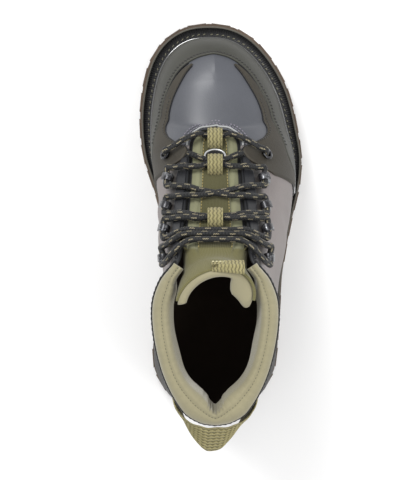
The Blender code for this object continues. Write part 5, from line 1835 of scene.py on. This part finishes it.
class BOOT_OT_hardware(Operator):
    """Eyelet rings and lace hooks with their plates and rivets"""

    bl_idname = "boot.hardware"
    bl_label = "Hardware"

    def execute(self, context):
        tint = colours()
        metal = enamel("dark_enamel", tint.metal, tint.bright)
        bright = enamel("bright_enamel", shade(tint.bright, 0.5), tint.bright)
        for side, label in ((LATERAL, "lateral"), (MEDIAL, "medial")):
            self.eyelet(side, label, metal)
            for number, seat in enumerate(HOOKS, 1):
                self.hook(side, label, number, seat, metal, bright)
        return {"FINISHED"}

    def local(self, points, origin, axes):
        return origin + points @ np.array(axes)

    def eyelet(self, side, label, metal):
        origin, *axes = axes_at(column_at(EYELET, side), EYELET.row)
        low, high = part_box(f"eyelet_{label}")
        centre = np.array((low + high) / 2)
        origin = origin + axes[2] * (np.dot(centre - origin, axes[2]) - EYELET_HEIGHT * 0.5)
        bore, rim, height = EYELET_BORE, EYELET_RADIUS, EYELET_HEIGHT
        section = [
            (bore, -0.0020), (bore, height * 0.55), (bore + 0.0002, height * 0.85),
            (bore + 0.0007, height), (rim - 0.0006, height * 0.9), (rim - 0.0001, height * 0.55),
            (rim, 0.0001), (bore + 0.0004, 0.0), (bore + 0.0004, -0.0020),
        ]
        rings = self.local(turned(section, 32), origin, axes)
        piece = grid_piece(f"eyelet_ring_{label}", rings, closed=(True, True), flip=True)
        seat_piece(piece, "hardware", metal, f"eyelet_{label}")

    def hook(self, side, label, number, seat, metal, bright):
        origin, *axes = axes_at(column_at(seat, side), seat.row)
        node = f"hook_{number}_{label}"
        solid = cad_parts[node].data
        heights = [np.dot(np.array(v.co) - origin, axes[2]) for v in solid.vertices]
        origin = origin + axes[2] * min(heights)
        outline = hook_outline(sizes().lace_radius)
        form = bmesh.new()
        half = HOOK_WIDTH / 2
        rows = [[form.verts.new(self.local(np.array((x, y, z)), origin, axes)) for x, z in outline]
                for y in (-half, half)]
        count = len(outline)
        form.faces.new(rows[0])
        form.faces.new(rows[1][::-1])
        for k in range(count):
            n = (k + 1) % count
            form.faces.new((rows[0][n], rows[0][k], rows[1][k], rows[1][n]))
        bmesh.ops.recalc_face_normals(form, faces=form.faces)
        mesh = bpy.data.meshes.new(f"lace_hook_{number}_{label}")
        form.to_mesh(mesh)
        form.free()
        mesh.shade_smooth()
        piece = added(mesh.name, mesh)
        soften(piece, 0.00035, segments=3, angle=50)
        seat_piece(piece, "hardware", metal, node)
        plate_section = [
            (0.0001, 0.0011), (0.0012, 0.0010), (0.0017, 0.0007), (0.0019, 0.0003), (0.0030, 0.0003),
            (0.0034, 0.0001), (0.0035, -0.0004),
        ]
        rings = turned(plate_section, 24)
        rings[..., 0] = rings[..., 0] * 1.35 + HOOK_BASE * 0.85
        rings[..., 2] += HOOK_STRIP
        rings = self.local(rings, origin, axes)
        plate = grid_piece(f"hook_rivet_{number}_{label}", rings, closed=(False, True))
        seat_piece(plate, "hardware", bright)


def strand_points(strand):
    """Middle line of one lace strand, from the medial to the lateral side."""
    radius = sizes().lace_radius
    thick = sizes().panel_thickness

    def end(number, past):
        if number == 0:
            return (EYELET.base, 1 - EYELET.row, 1.0) if past else (EYELET.base, 0.01, 0.57)
        seat = HOOKS[number - 1]
        aside = HOOK_WIDTH / 2 + radius + LACE_GAP + LACE_ASIDE
        aside /= pi / 2 * SOLE_LENGTH * sin(pi * seat.base)
        return seat.base + past * aside, 1 - seat.row, 1.0

    lateral_base, lateral_reach, lateral_end = end(strand.lateral, strand.lateral_past)
    medial_base, medial_reach, medial_end = end(strand.medial, strand.medial_past)
    s = np.linspace(-medial_end, lateral_end, STRAND_STEPS)
    share = ease(-1.0, 1.0, s)
    base = medial_base + (lateral_base - medial_base) * share
    reach = np.where(s > 0, lateral_reach, medial_reach)
    base = base + strand.bow * (1 - ease(0.30, 0.95, np.abs(s)))
    over_wall = radius + 2 * CLEARANCE
    near_wall = ease(0.28, 0.56, np.abs(s))
    panel = (PANEL_GAP + thick) * ease(0.55, 0.64, np.abs(s)) * (base < SIDE_OVERLAY[-1].base)
    lift = over_wall * near_wall + LACE_DIP * (1 - near_wall) + panel
    if strand is FIRST_BAR:
        ring = (EYELET_HEIGHT + CLEARANCE) * ease(0.7, 1.0, np.abs(s))
        lift = lift + (2 * PIPING_RADIUS + CLEARANCE + ring) * ease(0.25, 0.5, np.abs(s))
    lift = lift + LACE_ASIDE * ease(0.59, 0.60, base)
    hooked = np.where(s < 0, medial_end == 1.0, lateral_end == 1.0) & (strand.lateral + strand.medial > 0)
    lift = lift + np.where(hooked, (HOOK_STRIP + LACE_GAP) * ease(0.80, 1.0, np.abs(s)), 0.0)
    return instep(base, s, lift, reach)


def through_hook(number, side):
    """Point of the lace inside a hook's curl."""
    seat = HOOKS[number - 1]
    origin, down, _, normal = axes_at(column_at(seat, side), seat.row)
    lift = HOOK_STRIP + sizes().lace_radius + LACE_GAP + 2 * CLEARANCE
    return origin + normal * lift + down * 0.0006


class BOOT_OT_lace(Operator):
    """The lace, from the first bar through the hooks to the top"""

    bl_idname = "boot.lace"
    bl_label = "Lace"

    def execute(self, context):
        tint = colours()
        braid = lace_braid("black_braid", tint.lace, tint.fleck)
        self.first_bar(braid)
        self.climb(braid)
        self.top_loop(braid)
        return {"FINISHED"}

    def lace_piece(self, name, line, braid, nodes, closed=False):
        line = evenly(line, 0.0011)
        radius = sizes().lace_radius
        rings = tube_points(line, radius, 16, flatten=0.94)
        if not closed:
            rings = rounded_ends(rings, line, radius)
        place = np.meshgrid(np.linspace(0, 1, len(rings)), np.linspace(0, 15 / 16, 16), indexing="ij")
        piece = grid_piece(name, rings, place, closed=(False, True), flip=True)
        seat_piece(piece, "lace", braid, *nodes)

    def first_bar(self, braid):
        points = strand_points(FIRST_BAR)
        ends = []
        for side in (MEDIAL, LATERAL):
            origin, _, _, normal = axes_at(column_at(EYELET, side), EYELET.row)
            ends.append([origin + normal * lift for lift in END_LIFTS])
        control = np.concatenate([ends[0], points[1:-1], ends[1][::-1]])
        self.lace_piece("lace_first_bar", curve_through(control, 6), braid, ["lace_1"])

    def climb(self, braid):
        """Both ends of the lace, joined by the bar between the third hooks."""
        control = []
        for number, strand in enumerate(CLIMB):
            points = strand_points(strand)
            if number % 2 == 0:
                points = points[::-1]
            control += list(points)
            if number < len(CLIMB) - 1:
                side = MEDIAL if number % 2 == 0 else LATERAL
                hook = strand.medial if side == MEDIAL else strand.lateral
                control.append(through_hook(hook, side))
        nodes = ["lace_2", "lace_3", "lace_4", "lace_5"]
        self.lace_piece("lace_crossings", curve_through(np.array(control), 5), braid, nodes)

    def top_loop(self, braid):
        front, behind = (strand_points(strand) for strand in TOP_LOOP)
        control = list(front) + [through_hook(4, LATERAL)] + list(behind[::-1]) + [through_hook(4, MEDIAL)]
        control.append(front[0])
        nodes = ["lace_6", "lace_7"]
        self.lace_piece("lace_top_bars", curve_through(np.array(control), 5), braid, nodes, closed=True)


class BOOT_OT_stage(Operator):
    """Pale floor, soft studio light and the camera straight above"""

    bl_idname = "boot.stage"
    bl_label = "Stage"

    def execute(self, context):
        scene = bpy.context.scene
        self.floor()
        world = bpy.data.worlds.new("studio")
        world.use_nodes = True
        world.node_tree.nodes["Background"].inputs["Color"].default_value = (1.0, 1.0, 1.0, 1.0)
        world.node_tree.nodes["Background"].inputs["Strength"].default_value = 0.75
        scene.world = world
        scene.view_settings.view_transform = "Standard"
        self.lamp("key_light", (-0.55, 0.75, 1.25), 0.7, 17.0)
        self.lamp("fill_light", (0.8, -0.3, 1.1), 1.0, 10.0)
        self.camera(scene)
        return {"FINISHED"}

    def floor(self):
        bpy.ops.mesh.primitive_plane_add(size=6.0)
        floor = bpy.context.object
        floor.name = "studio_floor"
        made = Finish("studio_paper", 0.9, Specular_IOR_Level=0.2)
        made.feed("Base Color", made.mix(made.noise(3.0), (0.86, 0.86, 0.86), (0.90, 0.90, 0.90)))
        floor.data.materials.append(made.material)

    def lamp(self, name, place, size, power):
        light = bpy.data.lights.new(name, "AREA")
        light.size = size
        light.energy = power
        lamp = added(name, light)
        lamp.location = place
        lamp.rotation_euler = (-Vector(place)).to_track_quat("-Z", "Y").to_euler()

    def camera(self, scene):
        """Straight above, with the toe at the picture's top, 0.78 mm a pixel on the floor."""
        picture_width, pixel = 416, 0.00078
        height = sizes().camera_height
        data = bpy.data.cameras.new("camera")
        data.sensor_fit = "HORIZONTAL"
        data.sensor_width = 36.0
        data.lens = data.sensor_width * height / (picture_width * pixel)
        data.clip_end = 10.0
        camera = added("camera", data)
        aim = Vector((-0.0051, 0.135, 0.0)) + SHIFT
        camera.location = (aim.x, aim.y, height)
        scene.camera = camera


PIECES = [
    BOOT_OT_sole,
    BOOT_OT_upper,
    BOOT_OT_lining,
    BOOT_OT_tongue,
    BOOT_OT_webbing,
    BOOT_OT_hardware,
    BOOT_OT_lace,
    BOOT_OT_stage,
]


class BOOT_PT_panel(Panel):
    """Lists the boot's pieces, sizes and colours"""

    bl_label = "Wading boot"
    bl_idname = "BOOT_PT_panel"
    bl_space_type = "VIEW_3D"
    bl_region_type = "UI"
    bl_category = "Boot"

    def draw(self, context):
        layout = self.layout
        for piece in PIECES:
            layout.operator(piece.bl_idname)
        for group in (context.scene.boot_sizes, context.scene.boot_colours):
            box = layout.box()
            for name in group.__annotations__:
                box.prop(group, name)


CLASSES = [BootColours, BootSizes, *PIECES, BOOT_PT_panel]


def register():
    for made in CLASSES:
        bpy.utils.register_class(made)
    bpy.types.Scene.boot_sizes = PointerProperty(type=BootSizes)
    bpy.types.Scene.boot_colours = PointerProperty(type=BootColours)


def unregister():
    del bpy.types.Scene.boot_colours
    del bpy.types.Scene.boot_sizes
    for made in reversed(CLASSES):
        bpy.utils.unregister_class(made)


def main():
    register()
    bpy.ops.boot.sole()
    bpy.ops.boot.upper()
    bpy.ops.boot.lining()
    bpy.ops.boot.tongue()
    bpy.ops.boot.webbing()
    bpy.ops.boot.hardware()
    bpy.ops.boot.lace()
    bpy.ops.boot.stage()


if __name__ == "__main__":
    main()
